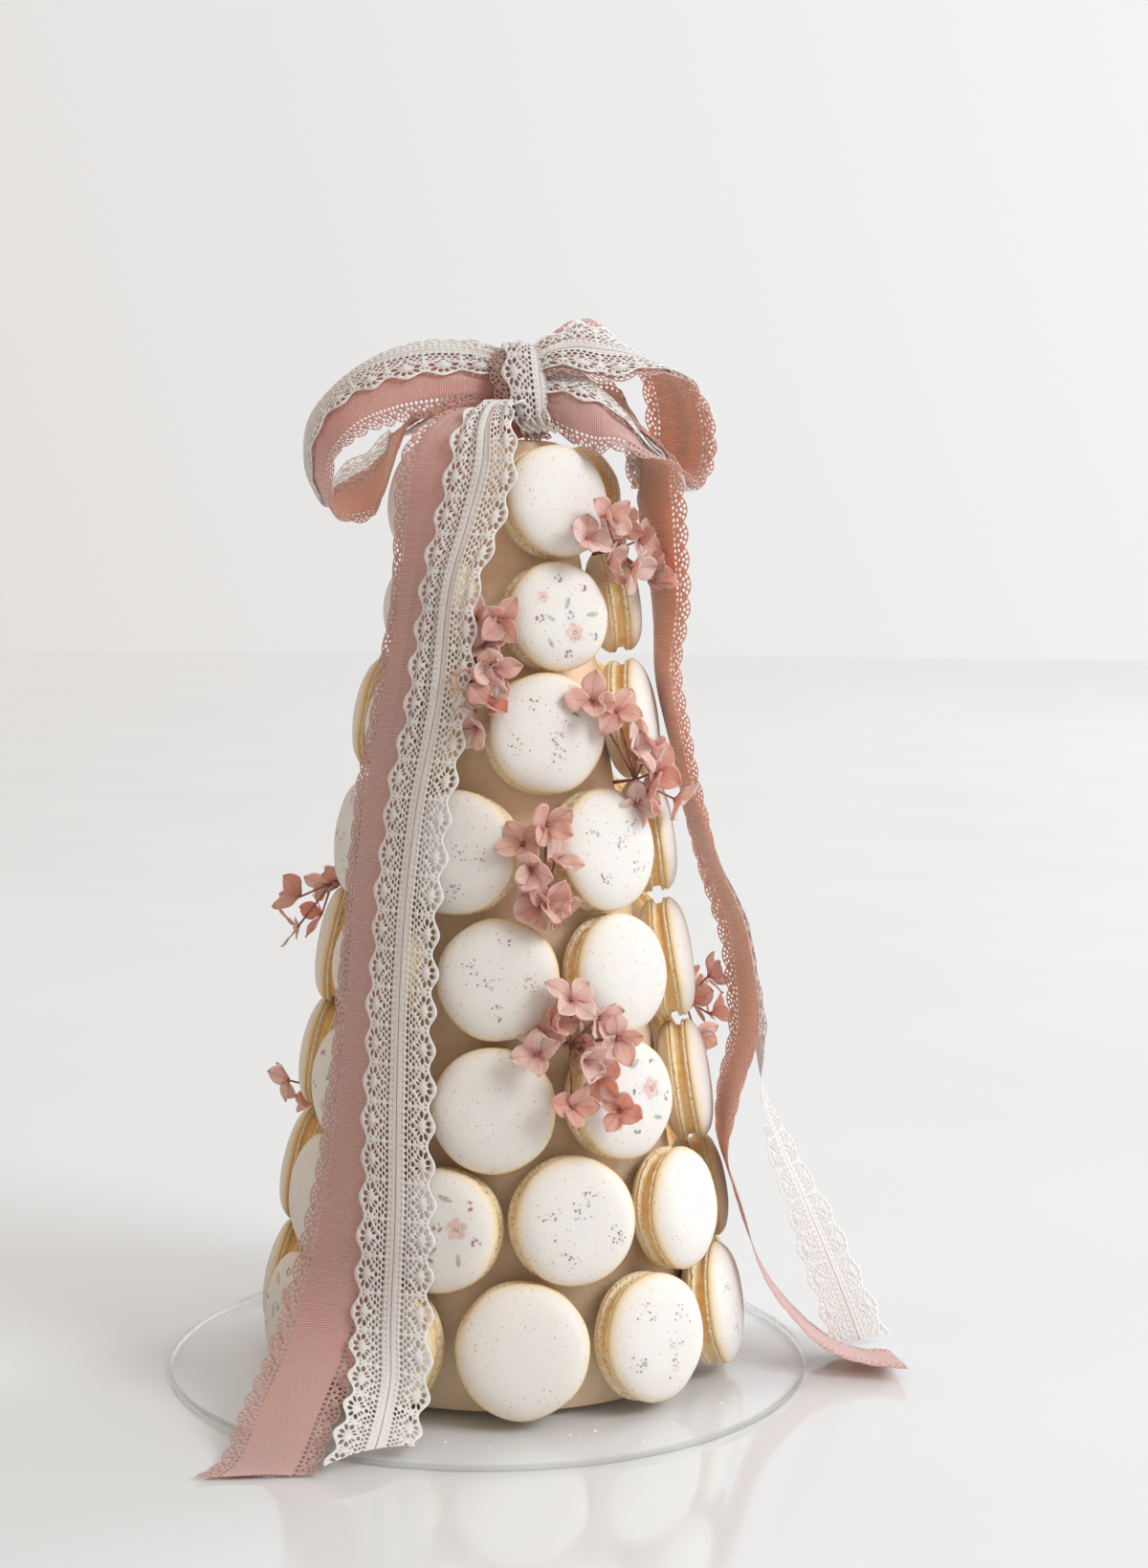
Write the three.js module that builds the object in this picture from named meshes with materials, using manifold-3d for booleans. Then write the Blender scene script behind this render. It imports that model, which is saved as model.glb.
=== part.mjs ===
// A macaron tower on its clear round plate. Macarons stand on edge in eight tiers round a foam cone, sprigs
// of dried hydrangea fill gaps between them, and a rose ribbon and a lace ribbon are tied in one bow on top.
// Millimetres, +Z up. The origin is the centre of the plate's underside, and the front faces -Y.
// Angles are in degrees round the tower from the front, positive to the right as seen from the front.
import * as THREE from 'three';
import { mergeVertices } from 'three/addons/utils/BufferGeometryUtils.js';
import Module from 'manifold-3d';

const GAP = 0.4; // clearance between neighbours
const WELD = 1e-4; // corners closer than this are one corner
const SLIVER = 0.02; // faces narrower than this are dropped after a cut

const PLATE_RADIUS = 125;
const PLATE_THICKNESS = 2.5;
const PLATE_SIDES = 48;

const CONE_AXIS = [5, 5.5]; // where the cone stands on the plate
const CONE_FOOT_RADIUS = 78.8; // of the cone's side carried down to z = 0
const CONE_SLOPE = 0.16; // radius lost for each millimetre of height
const CONE_TOP = 360;
const CONE_SIDES = 24;

const MACARON_THICKNESS = 20;
const MACARON_SIDES = 12;
// Half of a macaron's outline, as shares of its radius and of its half thickness: shoulder, rim, filling.
const MACARON_OUTLINE = [[0.66, 0.9], [1, 0.34], [0.93, 0]];
const PAIR_PRESS = 0.5; // how far the two macarons of a joined pair press into each other

// Tiers from the bottom up: each single macaron as [angle, height, diameter], then each pair that touches
// round the back as [angle of its middle, height, diameter].
const TIERS = [
  {
    singles: [
      [-98, 27, 46], [-63, 27, 46], [-29, 27, 47], [6.5, 28, 49], [41.5, 27, 47.5], [76, 27, 47],
    ],
    pairs: [[131, 27, 46], [207, 27, 46]],
  },
  {
    singles: [
      [-98, 73, 47], [-56, 74, 46], [-15, 70, 45], [20.5, 73, 47], [58, 70, 46], [97, 66, 42], [136, 71, 45],
    ],
    pairs: [[199, 72, 46]],
  },
  {
    singles: [
      [-98, 119.5, 45], [-50, 118, 46], [-1.5, 113.5, 46], [38.5, 115, 45], [86, 112, 47], [130, 115, 46],
    ],
    pairs: [[196, 118.5, 46]],
  },
  {
    singles: [
      [-92, 163, 46], [-46, 162, 45], [-0.5, 160.5, 45], [42, 160.5, 45], [86, 160, 47], [131, 161, 45],
    ],
    pairs: [[200, 164, 45]],
  },
  {
    singles: [[-67, 208, 46], [-16, 206, 46], [41, 206.5, 46], [91, 208, 45], [141, 207, 45]],
    pairs: [[217, 207, 45]],
  },
  {
    singles: [[-101, 254, 45], [-43, 253, 45], [18, 250, 45], [81, 254, 46]],
    pairs: [[170, 254, 45]],
  },
  {
    singles: [[-42, 297, 41], [26, 293, 41], [95, 299, 40]],
    pairs: [[202, 298, 41]],
  },
  {
    singles: [[-62, 338, 41], [30, 336, 42.5]],
    pairs: [[158, 339, 41]],
  },
];

const LETTERS = 'abcdefg'; // of the single macarons of a tier, counted round from the left

const FLORET_RADIUS = 11.5;
const FLORET_THICKNESS = 0.6;
const PETALS = 4;
// Half of a petal's outline, as shares of the angle between petals and of the floret's radius.
const PETAL_OUTLINE = [[0, 0.3], [0.3, 1]];
const PETAL_CUP = 2.4; // how far petal tips stand proud of the floret's centre
const PETAL_WAVE = 0.3; // share of the cup that differs from petal to petal
const STEM_RADIUS = 0.7;
const STEM_SIDES = 3;
const STEM_DEPTH = 11; // how far a sprig's stem reaches in between the macarons
const FORK_DEPTH = 1; // where the stem forks, behind the macarons' faces
const FLORET_LEAN = 16; // largest lean of a floret, in degrees
const LEAN_STEPS = [5, 3]; // radians that the lean goes on from floret to floret, up-and-down and sideways
const FLORET_TURN = 37; // degrees that each floret is turned on its stalk from the one before

// Sprigs: the gap that the stem is pushed into as [angle, height], and each floret as [angle, height, how
// far it stands off the macarons' faces].
const SPRIGS = {
  upper_right: { root: [61, 317], florets: [[46, 328, 6], [56, 309, 7], [72, 320, 5], [70, 303, 9]] },
  upper_left: { root: [-11, 272], florets: [[4, 290, 4], [2, 272, 4], [1, 259, 5]] },
  right: { root: [54, 231], florets: [[41, 256, 6], [46, 242, 7], [59, 233, 5], [66, 222, 7]] },
  middle: { root: [13, 185], florets: [[14, 216, 5], [9, 200, 6], [14, 188, 2]] },
  centre: {
    root: [20, 137],
    florets: [[19, 153, 6], [10, 134, 5], [21, 131, 8], [32, 138, 5], [18, 115, 6], [30, 112, 7]],
  },
  right_back: { root: [109, 137], florets: [[99, 147, 6], [105, 130, 7], [118, 140, 5], [116, 119, 6]] },
  left_back: { root: [-92, 186], florets: [[-90, 179, 10], [-97, 165, 11], [-108, 182, 6], [-112, 168, 9]] },
  lower_left: { root: [-118, 95], florets: [[-107, 100, 9], [-119, 90, 5], [-131, 98, 6]] },
};

// Edges of each ribbon, measured from the lace's inner edge towards the rose ribbon's outer edge, and the
// same with the fold line that each has at the other's edge.
const ROSE_EDGES = [-15, 22];
const LACE_EDGES = [-31.5, 0];
const ROSE_FOLDED = [-15, 0, 22];
const LACE_FOLDED = [-31.5, -15, 0];
const RIBBON_THICKNESS = 0.8;
const LACE_LIFT = 1.6; // from the middle of the rose ribbon to the middle of the lace that lies on it
const GATHER_LIFT = 2; // how much further the lace puffs out where the ribbons are fully gathered
const FLAT_RADIUS = 500; // how round a ribbon that lies flat is across its width

// Routes of the ribbons, chosen by hand: points on the line of the lace's inner edge, each with the
// direction across towards the rose ribbon's side and the share of the width that is left where the ribbons
// are gathered. Then come how far the lace has slid across the rose ribbon, and the radius where the pair is
// rounded across.
const LEFT_LOOP = [
  [8, 0, 379, 0, -0.2, -1, 0.4],
  [-18, 9, 372, 0.1, -0.7, -0.5, 0.5],
  [-32, 12, 368, 0.1, -0.95, 0.1, 0.65],
  [-41, 14, 360, 0.2, -0.95, -0.2, 0.85],
  [-46, 14, 349, 0.05, -0.82, -0.57, 0.95],
  [-52, 13, 342, 0.1, -0.8, -0.6, 0.95],
  [-59, 11, 338, 0.15, -0.85, -0.45, 0.95],
  [-65, 8, 336, 0.2, -0.93, -0.25, 0.95],
  [-68, 4, 342, 0.25, -0.95, -0.05, 0.95, 0, 60],
  [-69, -1, 352, 0.35, -0.92, 0, 0.95, 0, 40],
  [-66, -6, 361, 0.45, -0.87, -0.1, 0.95, 0, 40],
  [-56, -11, 373, 0.4, -0.88, -0.25, 0.95, 0, 40],
  [-42, -14, 380, 0.25, -0.8, -0.5, 0.9, 0, 40],
  [-24, -15, 383, 0.12, -0.74, -0.66, 0.8, 0, 50],
  [-8, -14, 384, 0.13, -0.65, -0.75, 0.65],
  [8, -8, 381, 0, 0, -1, 0.4],
];
const RIGHT_LOOP = [
  [10, 0, 379, 0, 0.2, 1, 0.4, 18],
  [30, 6, 376, -0.1, 0.7, 0.7, 0.55, 18],
  [49, 8, 374, -0.1, 0.8, 0.58, 0.7, 18],
  [59, 6, 362, -0.5, 0.8, 0.3, 0.8, 18],
  [64, 6, 350, -0.7, 0.7, 0.1, 0.9, 18],
  [69, 10, 343, -0.75, 0.65, 0, 0.95, 18],
  [73, 14, 349, -0.75, 0.65, 0.05, 0.95, 18],
  [75, 15, 363, -0.75, 0.65, 0.1, 0.95, 18],
  [73, 13, 376, -0.7, 0.68, 0.15, 0.95, 18],
  [68, 9, 385, -0.6, 0.75, 0.2, 0.95, 18],
  [61, 3, 389, -0.45, 0.8, 0.3, 0.9, 18],
  [52, -2, 391, -0.3, 0.8, 0.5, 0.9, 18],
  [41, -6, 392, -0.15, 0.62, 0.77, 0.9, 18],
  [30, -8, 393, -0.1, 0.6, 0.78, 0.75, 18],
  [21, -10, 391, 0, 0.5, 0.86, 0.5, 18],
  [10, -8, 383, 0, 0, 1, 0.4, 18],
];
const LEFT_TAIL = [
  [6, -8, 369, -1, 0.1, 0, 0.4],
  [-6, -24, 370, -0.95, 0.3, 0, 0.5],
  [-13, -36, 362, -0.95, 0.3, 0, 0.75],
  [-16, -41, 349, -0.95, 0.3, 0, 0.9],
  [-20, -42, 331, -0.9, 0.42, 0, 0.9, 0, 65],
  [-24, -41, 309, -0.8, 0.6, 0, 0.85, 0, 65],
  [-30, -44, 264, -0.83, 0.55, 0, 0.87, 0, 65],
  [-38, -45, 220, -0.77, 0.64, 0, 0.95, 0, 65],
  [-42, -52, 172, -0.76, 0.65, 0, 0.95, 0, 65],
  [-44, -61, 125, -0.82, 0.57, 0, 0.95, 0, 65],
  [-45, -70, 78, -0.88, 0.48, 0, 0.97, 0, 80],
  [-48, -80, 32, -0.97, 0.25, 0, 1, 0, 120],
];
const LEFT_TAIL_ROSE_END = [
  [-53, -105, 15, -0.92, 0.4, 0, 1],
  [-68, -133, 1.5, -0.88, 0.47, 0, 1],
  [-76, -148, 1.2, -0.88, 0.47, 0, 1],
];
const LEFT_TAIL_LACE_END = [
  [-48, -104, 19, -0.82, -0.2, 0.5, 1],
  [-51, -124, 9, -0.9, 0, 0.35, 1],
  [-53, -141, 2.4, -0.98, 0.1, 0.1, 1],
];
// Where scissors cut the left tail's ends: normal and offset of the plane, towards the side that is kept.
const LEFT_ROSE_CUT = [[-0.1, 0.995, 0], -124.8];
const LEFT_LACE_CUT = [[-0.82, 0.57, 0], -36];
const RIGHT_TAIL = [
  [10, -9, 378, 0, 0, -1, 0.4],
  [27, -18, 375, 0.1, -0.6, -0.8, 0.7, 0, 35],
  [38, -20, 373, 0.1, -0.65, -0.75, 0.8, 2, 35],
  [47, -18, 368, 0.1, -0.8, -0.55, 0.85, 4, 40],
  [55, -13, 360, 0.2, -0.9, -0.3, 0.9, 10, 80],
  [61, -6, 351, 0.35, -0.92, 0, 0.95, 14],
  [62, 1, 339, 0.4, -0.9, 0.1, 1, 14],
  [64, 5, 324, 0.4, -0.9, 0.05, 1, 14],
  [67, 6, 305, 0.38, -0.92, 0, 1, 14],
  [67, 7, 272, 0.26, -0.96, 0, 1, 14],
  [75, 8, 235, 0.2, -0.98, 0, 1, 14],
  [84, 8, 205, 0.12, -0.99, 0, 1, 14],
  [95, 8, 177, 0.22, -0.97, 0, 1, 15],
];
const RIGHT_TAIL_ROSE_END = [
  [99, 6, 152, 0.26, -0.96, 0, 1],
  [99, 4, 129, 0.25, -0.97, 0, 1],
  [93, 3, 106, 0.16, -0.98, 0, 1],
  [91, 3, 87, 0.08, -1, 0, 1],
  [97, 3, 68, 0.04, -1, 0, 1],
  [104, 2, 45, 0.04, -1, 0, 1],
  [114, 1, 27, 0.04, -1, 0, 1],
  [131, -2, 9, 0.03, -1, 0, 1],
  [146, -5, 2, 0.05, -1, 0, 1],
  [161, -8, 1.2, 0.1, -1, 0, 1],
];
const RIGHT_TAIL_LACE_END = [
  [103, 9, 136, 0.2, -0.97, 0, 1, 15],
  [108, 11, 97, -0.2, -0.97, 0, 1, 15],
  [121, 13, 66, -0.5, -0.85, 0, 1, 15],
  [133, 14, 38, -0.7, -0.7, 0, 1, 15],
  [142, 14, 16, -0.8, -0.6, 0, 1, 15],
  [147, 14, 3, -0.85, -0.5, 0, 1, 15],
];
const KNOT = [9.5, -5, 380]; // middle of the bow's knot
const KNOT_HALF = [9, 8, 16];
const KNOT_SIDES = [8, 4];
const KNOT_BAND_WIDTH = 16;
const KNOT_BAND_START = -50; // the lace's turn round the knot, in degrees from its front over the top
const KNOT_BAND_END = 200;
const KNOT_BAND_POINTS = 8;

const wasm = await Module();
wasm.setup();

const tilt = Math.atan(CONE_SLOPE);
const degrees = THREE.MathUtils.degToRad;

// Distance of macaron centres from the cone's axis at a height.
function ringRadius(height) {
  return CONE_FOOT_RADIUS - CONE_SLOPE * height + (MACARON_THICKNESS / 2 + GAP) / Math.cos(tilt);
}

// A frame on the macarons' ring: local +X runs round the tower, +Y in towards the cone and +Z up its side.
function towerFrame(angle, height, lift = 0) {
  const turn = new THREE.Matrix4().makeTranslation(CONE_AXIS[0], CONE_AXIS[1], 0);
  turn.multiply(new THREE.Matrix4().makeRotationZ(degrees(angle)));
  turn.multiply(new THREE.Matrix4().makeTranslation(0, -ringRadius(height), height));
  turn.multiply(new THREE.Matrix4().makeRotationX(-tilt));
  return turn.multiply(new THREE.Matrix4().makeTranslation(0, -lift, 0));
}

function toSolid(geometry) {
  const bare = geometry.clone();
  bare.deleteAttribute('normal');
  bare.deleteAttribute('uv');
  const merged = mergeVertices(bare, WELD);
  return new wasm.Manifold(new wasm.Mesh({
    numProp: 3,
    vertProperties: new Float32Array(merged.attributes.position.array),
    triVerts: new Uint32Array(merged.index.array),
  }));
}

function toGeometry(solid) {
  const mesh = solid.getMesh();
  const geometry = new THREE.BufferGeometry();
  geometry.setAttribute('position', new THREE.BufferAttribute(mesh.vertProperties, 3));
  geometry.setIndex(new THREE.BufferAttribute(mesh.triVerts, 1));
  geometry.computeVertexNormals();
  return geometry;
}

function unite(solids) {
  return solids.reduce((whole, piece) => whole.add(piece));
}

function join(geometries) {
  return toGeometry(unite(geometries.map(toSolid)));
}

// A macaron stands with its axis along local Y: two domed shells with the filling set in between their rims.
function macaronGeometry(diameter) {
  const half = MACARON_OUTLINE.map(([out, up]) => [out * diameter / 2, up * MACARON_THICKNESS / 2]);
  const lower = half.slice(0, -1).map(([out, up]) => [out, -up]);
  const upper = half.slice().reverse();
  const outline = [[0, -MACARON_THICKNESS / 2], ...lower, ...upper, [0, MACARON_THICKNESS / 2]];
  return new THREE.LatheGeometry(outline.map(([out, up]) => new THREE.Vector2(out, up)), MACARON_SIDES);
}

// Two macarons round the back that touch at their rims.
function pairGeometry(angle, height, diameter) {
  const apart = THREE.MathUtils.radToDeg(Math.atan((diameter / 2 - PAIR_PRESS) / ringRadius(height)));
  const turned = (side) => macaronGeometry(diameter).applyMatrix4(towerFrame(angle + side, height));
  return join([turned(-apart), turned(apart)]);
}

// One floret facing local -Y: four broad petals in a thin sheet, cupped outwards.
function floretGeometry() {
  const points = [];
  for (let petal = 0; petal < PETALS; petal += 1) {
    const mirrored = PETAL_OUTLINE.slice(1).map(([turn, reach]) => [1 - turn, reach]);
    for (const [turn, reach] of [...PETAL_OUTLINE, ...mirrored]) {
      const around = 2 * Math.PI * (petal + turn) / PETALS;
      const out = reach * FLORET_RADIUS;
      points.push(new THREE.Vector2(out * Math.cos(around), out * Math.sin(around)));
    }
  }
  const flat = { depth: FLORET_THICKNESS, bevelEnabled: false };
  const sheet = new THREE.ExtrudeGeometry(new THREE.Shape(points), flat);
  const position = sheet.attributes.position;
  for (let i = 0; i < position.count; i += 1) {
    const reach = Math.hypot(position.getX(i), position.getY(i)) / FLORET_RADIUS;
    const wave = Math.sin(2 * Math.atan2(position.getY(i), position.getX(i)));
    const cup = PETAL_CUP * (1 - PETAL_WAVE + PETAL_WAVE * wave);
    position.setZ(i, position.getZ(i) + cup * reach * reach);
  }
  return sheet.rotateX(Math.PI / 2);
}

function stemGeometry(from, to) {
  const along = to.clone().sub(from);
  const stem = new THREE.CylinderGeometry(STEM_RADIUS, STEM_RADIUS, along.length(), STEM_SIDES);
  const up = new THREE.Vector3(0, 1, 0);
  stem.applyQuaternion(new THREE.Quaternion().setFromUnitVectors(up, along.clone().normalize()));
  return stem.translate(...from.clone().add(to).multiplyScalar(0.5));
}

// A sprig: one stem pushed in between the macarons, with a thin stalk to each floret.
function sprigGeometry({ root, florets }) {
  const face = MACARON_THICKNESS / 2;
  const fork = new THREE.Vector3().applyMatrix4(towerFrame(root[0], root[1], face - FORK_DEPTH));
  const foot = new THREE.Vector3().applyMatrix4(towerFrame(root[0], root[1], face - STEM_DEPTH));
  const pieces = [stemGeometry(foot, fork)];
  florets.forEach(([angle, height, off], i) => {
    const lean = degrees(FLORET_LEAN);
    const frame = towerFrame(angle, height, face + off);
    frame.multiply(new THREE.Matrix4().makeRotationX(lean * Math.sin(LEAN_STEPS[0] * i + root[1])));
    frame.multiply(new THREE.Matrix4().makeRotationZ(lean * Math.cos(LEAN_STEPS[1] * i + root[0])));
    frame.multiply(new THREE.Matrix4().makeRotationY(degrees(FLORET_TURN) * i));
    const behind = new THREE.Vector3(0, -FLORET_THICKNESS / 2, 0).applyMatrix4(frame);
    pieces.push(stemGeometry(fork, behind), floretGeometry().applyMatrix4(frame));
  });
  return join(pieces);
}

// A thin sheet over a grid of points, with both faces split into triangles alike. The rule place gives the
// point of a column and row on one face, -1 or 1.
function sheetGeometry(columns, rows, place) {
  const corners = [];
  const triangles = [];
  const at = (face, column, row) => (face * rows + row) * columns + column;
  for (const face of [-1, 1]) {
    for (let row = 0; row < rows; row += 1) {
      for (let column = 0; column < columns; column += 1) {
        corners.push(...place(column, row, face));
      }
    }
  }
  for (let row = 0; row < rows - 1; row += 1) {
    for (let column = 0; column < columns - 1; column += 1) {
      for (const face of [0, 1]) {
        const quad = [[0, 0], [1, 0], [1, 1], [0, 1]].map(([c, r]) => at(face, column + c, row + r));
        const [a, b, c, d] = quad;
        triangles.push(...(face ? [a, b, c, a, c, d] : [a, c, b, a, d, c]));
      }
    }
  }
  const border = [];
  for (let column = 0; column < columns - 1; column += 1) border.push([column, 0]);
  for (let row = 0; row < rows - 1; row += 1) border.push([columns - 1, row]);
  for (let column = columns - 1; column > 0; column -= 1) border.push([column, rows - 1]);
  for (let row = rows - 1; row > 0; row -= 1) border.push([0, row]);
  border.forEach((here, i) => {
    const next = border[(i + 1) % border.length];
    const [a, b, c, d] = [at(0, ...here), at(0, ...next), at(1, ...next), at(1, ...here)];
    triangles.push(a, b, c, a, c, d);
  });
  const geometry = new THREE.BufferGeometry();
  geometry.setAttribute('position', new THREE.Float32BufferAttribute(corners, 3));
  geometry.setIndex(triangles);
  return geometry;
}

// A ribbon's strip along a route, lying between its lines. Lace slides across and lies on the outer side.
function stripGeometry(route, lines, lift, thickness) {
  const points = route.map(([x, y, z]) => new THREE.Vector3(x, y, z));
  return sheetGeometry(lines.length, route.length, (column, row, face) => {
    const before = points[Math.max(row - 1, 0)];
    const after = points[Math.min(row + 1, route.length - 1)];
    const along = after.clone().sub(before).normalize();
    const [open, slide = 0, radius = FLAT_RADIUS] = route[row].slice(6);
    const across = new THREE.Vector3(...route[row].slice(3, 6)).normalize();
    const out = new THREE.Vector3().crossVectors(across, along).normalize();
    const turn = open * (lines[column] + (lift ? slide : 0)) / radius;
    const rise = lift ? lift + GATHER_LIFT * (1 - open) : 0;
    const place = points[row].clone().addScaledVector(across, Math.sin(turn) * radius);
    return place.addScaledVector(out, (Math.cos(turn) - 1) * radius + rise + face * thickness / 2);
  });
}

// The rose ribbon's two loops and two tails.
function roseStrands(thickness) {
  const strand = (route, lines) => toSolid(stripGeometry(route, lines, 0, thickness));
  const leftLoop = strand(LEFT_LOOP, ROSE_FOLDED);
  const rightLoop = strand(RIGHT_LOOP, ROSE_EDGES);
  const leftTail = strand([...LEFT_TAIL, ...LEFT_TAIL_ROSE_END], ROSE_FOLDED);
  const rightTail = strand([...RIGHT_TAIL, ...RIGHT_TAIL_ROSE_END], ROSE_EDGES);
  return unite([leftLoop, rightLoop, leftTail.trimByPlane(...LEFT_ROSE_CUT), rightTail]);
}

function laceStrands() {
  const strand = (route, lines) => toSolid(stripGeometry(route, lines, LACE_LIFT, RIBBON_THICKNESS));
  const leftLoop = strand(LEFT_LOOP, LACE_FOLDED);
  const rightLoop = strand(RIGHT_LOOP, LACE_EDGES);
  const leftTail = strand([...LEFT_TAIL, ...LEFT_TAIL_LACE_END], LACE_FOLDED);
  const rightTail = strand([...RIGHT_TAIL, ...RIGHT_TAIL_LACE_END], LACE_EDGES);
  return unite([leftLoop, rightLoop, leftTail.trimByPlane(...LEFT_LACE_CUT), rightTail]);
}

// The knot's round core, which the rose ribbon is gathered into.
function knotCore(clearance) {
  const core = new THREE.SphereGeometry(1, ...KNOT_SIDES).rotateX(Math.PI / 2);
  return toSolid(core.scale(...KNOT_HALF.map((half) => half + clearance)).translate(...KNOT));
}

// The lace's turn round the knot, from below its front over the top and down its back.
function knotBand() {
  const clearance = RIBBON_THICKNESS / 2 + GAP;
  const route = [];
  for (let i = 0; i < KNOT_BAND_POINTS; i += 1) {
    const share = i / (KNOT_BAND_POINTS - 1);
    const around = degrees(THREE.MathUtils.lerp(KNOT_BAND_START, KNOT_BAND_END, share));
    const y = KNOT[1] - (KNOT_HALF[1] + clearance) * Math.cos(around);
    const z = KNOT[2] + (KNOT_HALF[2] + clearance) * Math.sin(around);
    route.push([KNOT[0], y, z, 1, 0, 0, 1]);
  }
  const edges = [-KNOT_BAND_WIDTH / 2, KNOT_BAND_WIDTH / 2];
  return toSolid(stripGeometry(route, edges, 0, RIBBON_THICKNESS));
}

function roseRibbon(clearance) {
  return roseStrands(RIBBON_THICKNESS + 2 * clearance).add(knotCore(clearance));
}

// The lace is cut clear of the rose ribbon, and the crumbs of that cut are dropped.
function laceRibbon() {
  const whole = laceStrands().add(knotBand());
  const bodies = whole.subtract(roseRibbon(GAP)).subtract(roseRibbon(0)).decompose();
  return bodies.reduce((most, body) => (body.volume() > most.volume() ? body : most)).simplify(SLIVER);
}

const clear = new THREE.MeshStandardMaterial({ color: 0xeef2f2, roughness: 0.05, metalness: 0 });
const foam = new THREE.MeshStandardMaterial({ color: 0xf4f1ec, roughness: 0.9, metalness: 0 });
const shell = new THREE.MeshStandardMaterial({ color: 0xf0e4d0, roughness: 0.65, metalness: 0 });
const petal = new THREE.MeshStandardMaterial({ color: 0xbe8680, roughness: 0.8, metalness: 0 });
const rose = new THREE.MeshStandardMaterial({ color: 0xc08f8c, roughness: 0.75, metalness: 0 });
const lace = new THREE.MeshStandardMaterial({ color: 0xece3dd, roughness: 0.85, metalness: 0 });

const tower = new THREE.Group();

function addPiece(name, geometry, material) {
  const mesh = new THREE.Mesh(geometry, material);
  mesh.name = name;
  tower.add(mesh);
  return mesh;
}

const plate = new THREE.CylinderGeometry(PLATE_RADIUS, PLATE_RADIUS, PLATE_THICKNESS, PLATE_SIDES);
addPiece('stand_plate', plate.rotateX(Math.PI / 2), clear).position.set(0, 0, PLATE_THICKNESS / 2);

const coneFoot = PLATE_THICKNESS + GAP;
const coneHeight = CONE_TOP - coneFoot;
const coneRadii = [CONE_TOP, coneFoot].map((height) => CONE_FOOT_RADIUS - CONE_SLOPE * height);
const cone = new THREE.CylinderGeometry(...coneRadii, coneHeight, CONE_SIDES).rotateX(Math.PI / 2);
addPiece('foam_cone', cone, foam).position.set(...CONE_AXIS, coneFoot + coneHeight / 2);

TIERS.forEach(({ singles, pairs }, tier) => {
  singles.forEach(([angle, height, diameter], i) => {
    const macaron = addPiece(`macaron_${tier + 1}_${LETTERS[i]}`, macaronGeometry(diameter), shell);
    macaron.applyMatrix4(towerFrame(angle, height));
  });
  pairs.forEach(([angle, height, diameter], i) => {
    addPiece(`macaron_pair_${tier + 1}_${i + 1}`, pairGeometry(angle, height, diameter), shell);
  });
});

Object.entries(SPRIGS).forEach(([place, sprig]) => {
  addPiece(`hydrangea_${place}`, sprigGeometry(sprig), petal);
});

addPiece('rose_ribbon', toGeometry(roseRibbon(0)), rose);
addPiece('lace_ribbon', toGeometry(laceRibbon()), lace);

export default tower;
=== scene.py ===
"""Dresses the macaron tower: plate, foam cone, macarons, dried hydrangea, rose ribbon and lace."""
import random
from math import atan, atan2, ceil, cos, degrees, hypot, pi, radians, sin, sqrt, tau

import bmesh
import bpy
import numpy as np
from mathutils import Matrix, Vector, geometry


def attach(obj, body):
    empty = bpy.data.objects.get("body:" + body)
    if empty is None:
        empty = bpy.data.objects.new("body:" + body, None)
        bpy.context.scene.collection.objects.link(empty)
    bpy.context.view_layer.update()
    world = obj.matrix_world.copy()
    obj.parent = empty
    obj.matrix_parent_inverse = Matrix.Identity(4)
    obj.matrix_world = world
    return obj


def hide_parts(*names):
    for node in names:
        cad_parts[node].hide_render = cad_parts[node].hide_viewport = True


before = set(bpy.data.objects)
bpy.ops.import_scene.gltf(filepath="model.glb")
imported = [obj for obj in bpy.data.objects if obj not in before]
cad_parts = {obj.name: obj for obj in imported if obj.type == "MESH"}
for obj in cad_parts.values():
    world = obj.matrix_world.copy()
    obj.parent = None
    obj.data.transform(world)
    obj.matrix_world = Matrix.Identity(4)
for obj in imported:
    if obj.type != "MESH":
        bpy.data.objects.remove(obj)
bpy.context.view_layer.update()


# Plate: a thin round disc of clear cast acrylic, sawn out and polished along its edge.
# It lies flat on the table and carries the whole tower.
MM = 0.001
PLATE_RADIUS = 125 * MM
PLATE_THICKNESS = 2.5 * MM
PLATE_SIDES = 192
PLATE_EDGE_ROUND = 0.5 * MM
PLATE_EDGE_SHOWS = 1.4 * MM
PLATE_ALPHA = 0.015
PLATE_EDGE_ALPHA = 0.7


def tint(red, green, blue):
    """A colour from the screen values of a paint card."""
    screen = (channel / 255 for channel in (red, green, blue))
    return (*(c / 12.92 if c <= 0.04045 else ((c + 0.055) / 1.055) ** 2.4 for c in screen), 1.0)


def new_finish(name, sockets):
    """A new material with its shader's plain sockets set, the shader, and the place on a piece."""
    material = bpy.data.materials.new(name)
    material.use_nodes = True
    shader = material.node_tree.nodes["Principled BSDF"]
    for socket, value in sockets.items():
        shader.inputs[socket].default_value = value
    return material, shader, put(material.node_tree, "ShaderNodeTexCoord").outputs["Object"]


def put(tree, kind, sockets=None, **settings):
    """Adds a node, sets its options, and fills its sockets with values or with other nodes' outputs."""
    node = tree.nodes.new(kind)
    for option, value in settings.items():
        setattr(node, option, value)
    for socket, value in (sockets or {}).items():
        if isinstance(value, bpy.types.NodeSocket):
            tree.links.new(value, node.inputs[socket])
        else:
            node.inputs[socket].default_value = value
    return node


def calc(operation, first, second=0.0):
    """Arithmetic on outputs, in the tree that the first belongs to."""
    return put(first.id_data, "ShaderNodeMath", {0: first, 1: second}, operation=operation).outputs[0]


def times(first, second):
    return calc("MULTIPLY", first, second)


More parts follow.
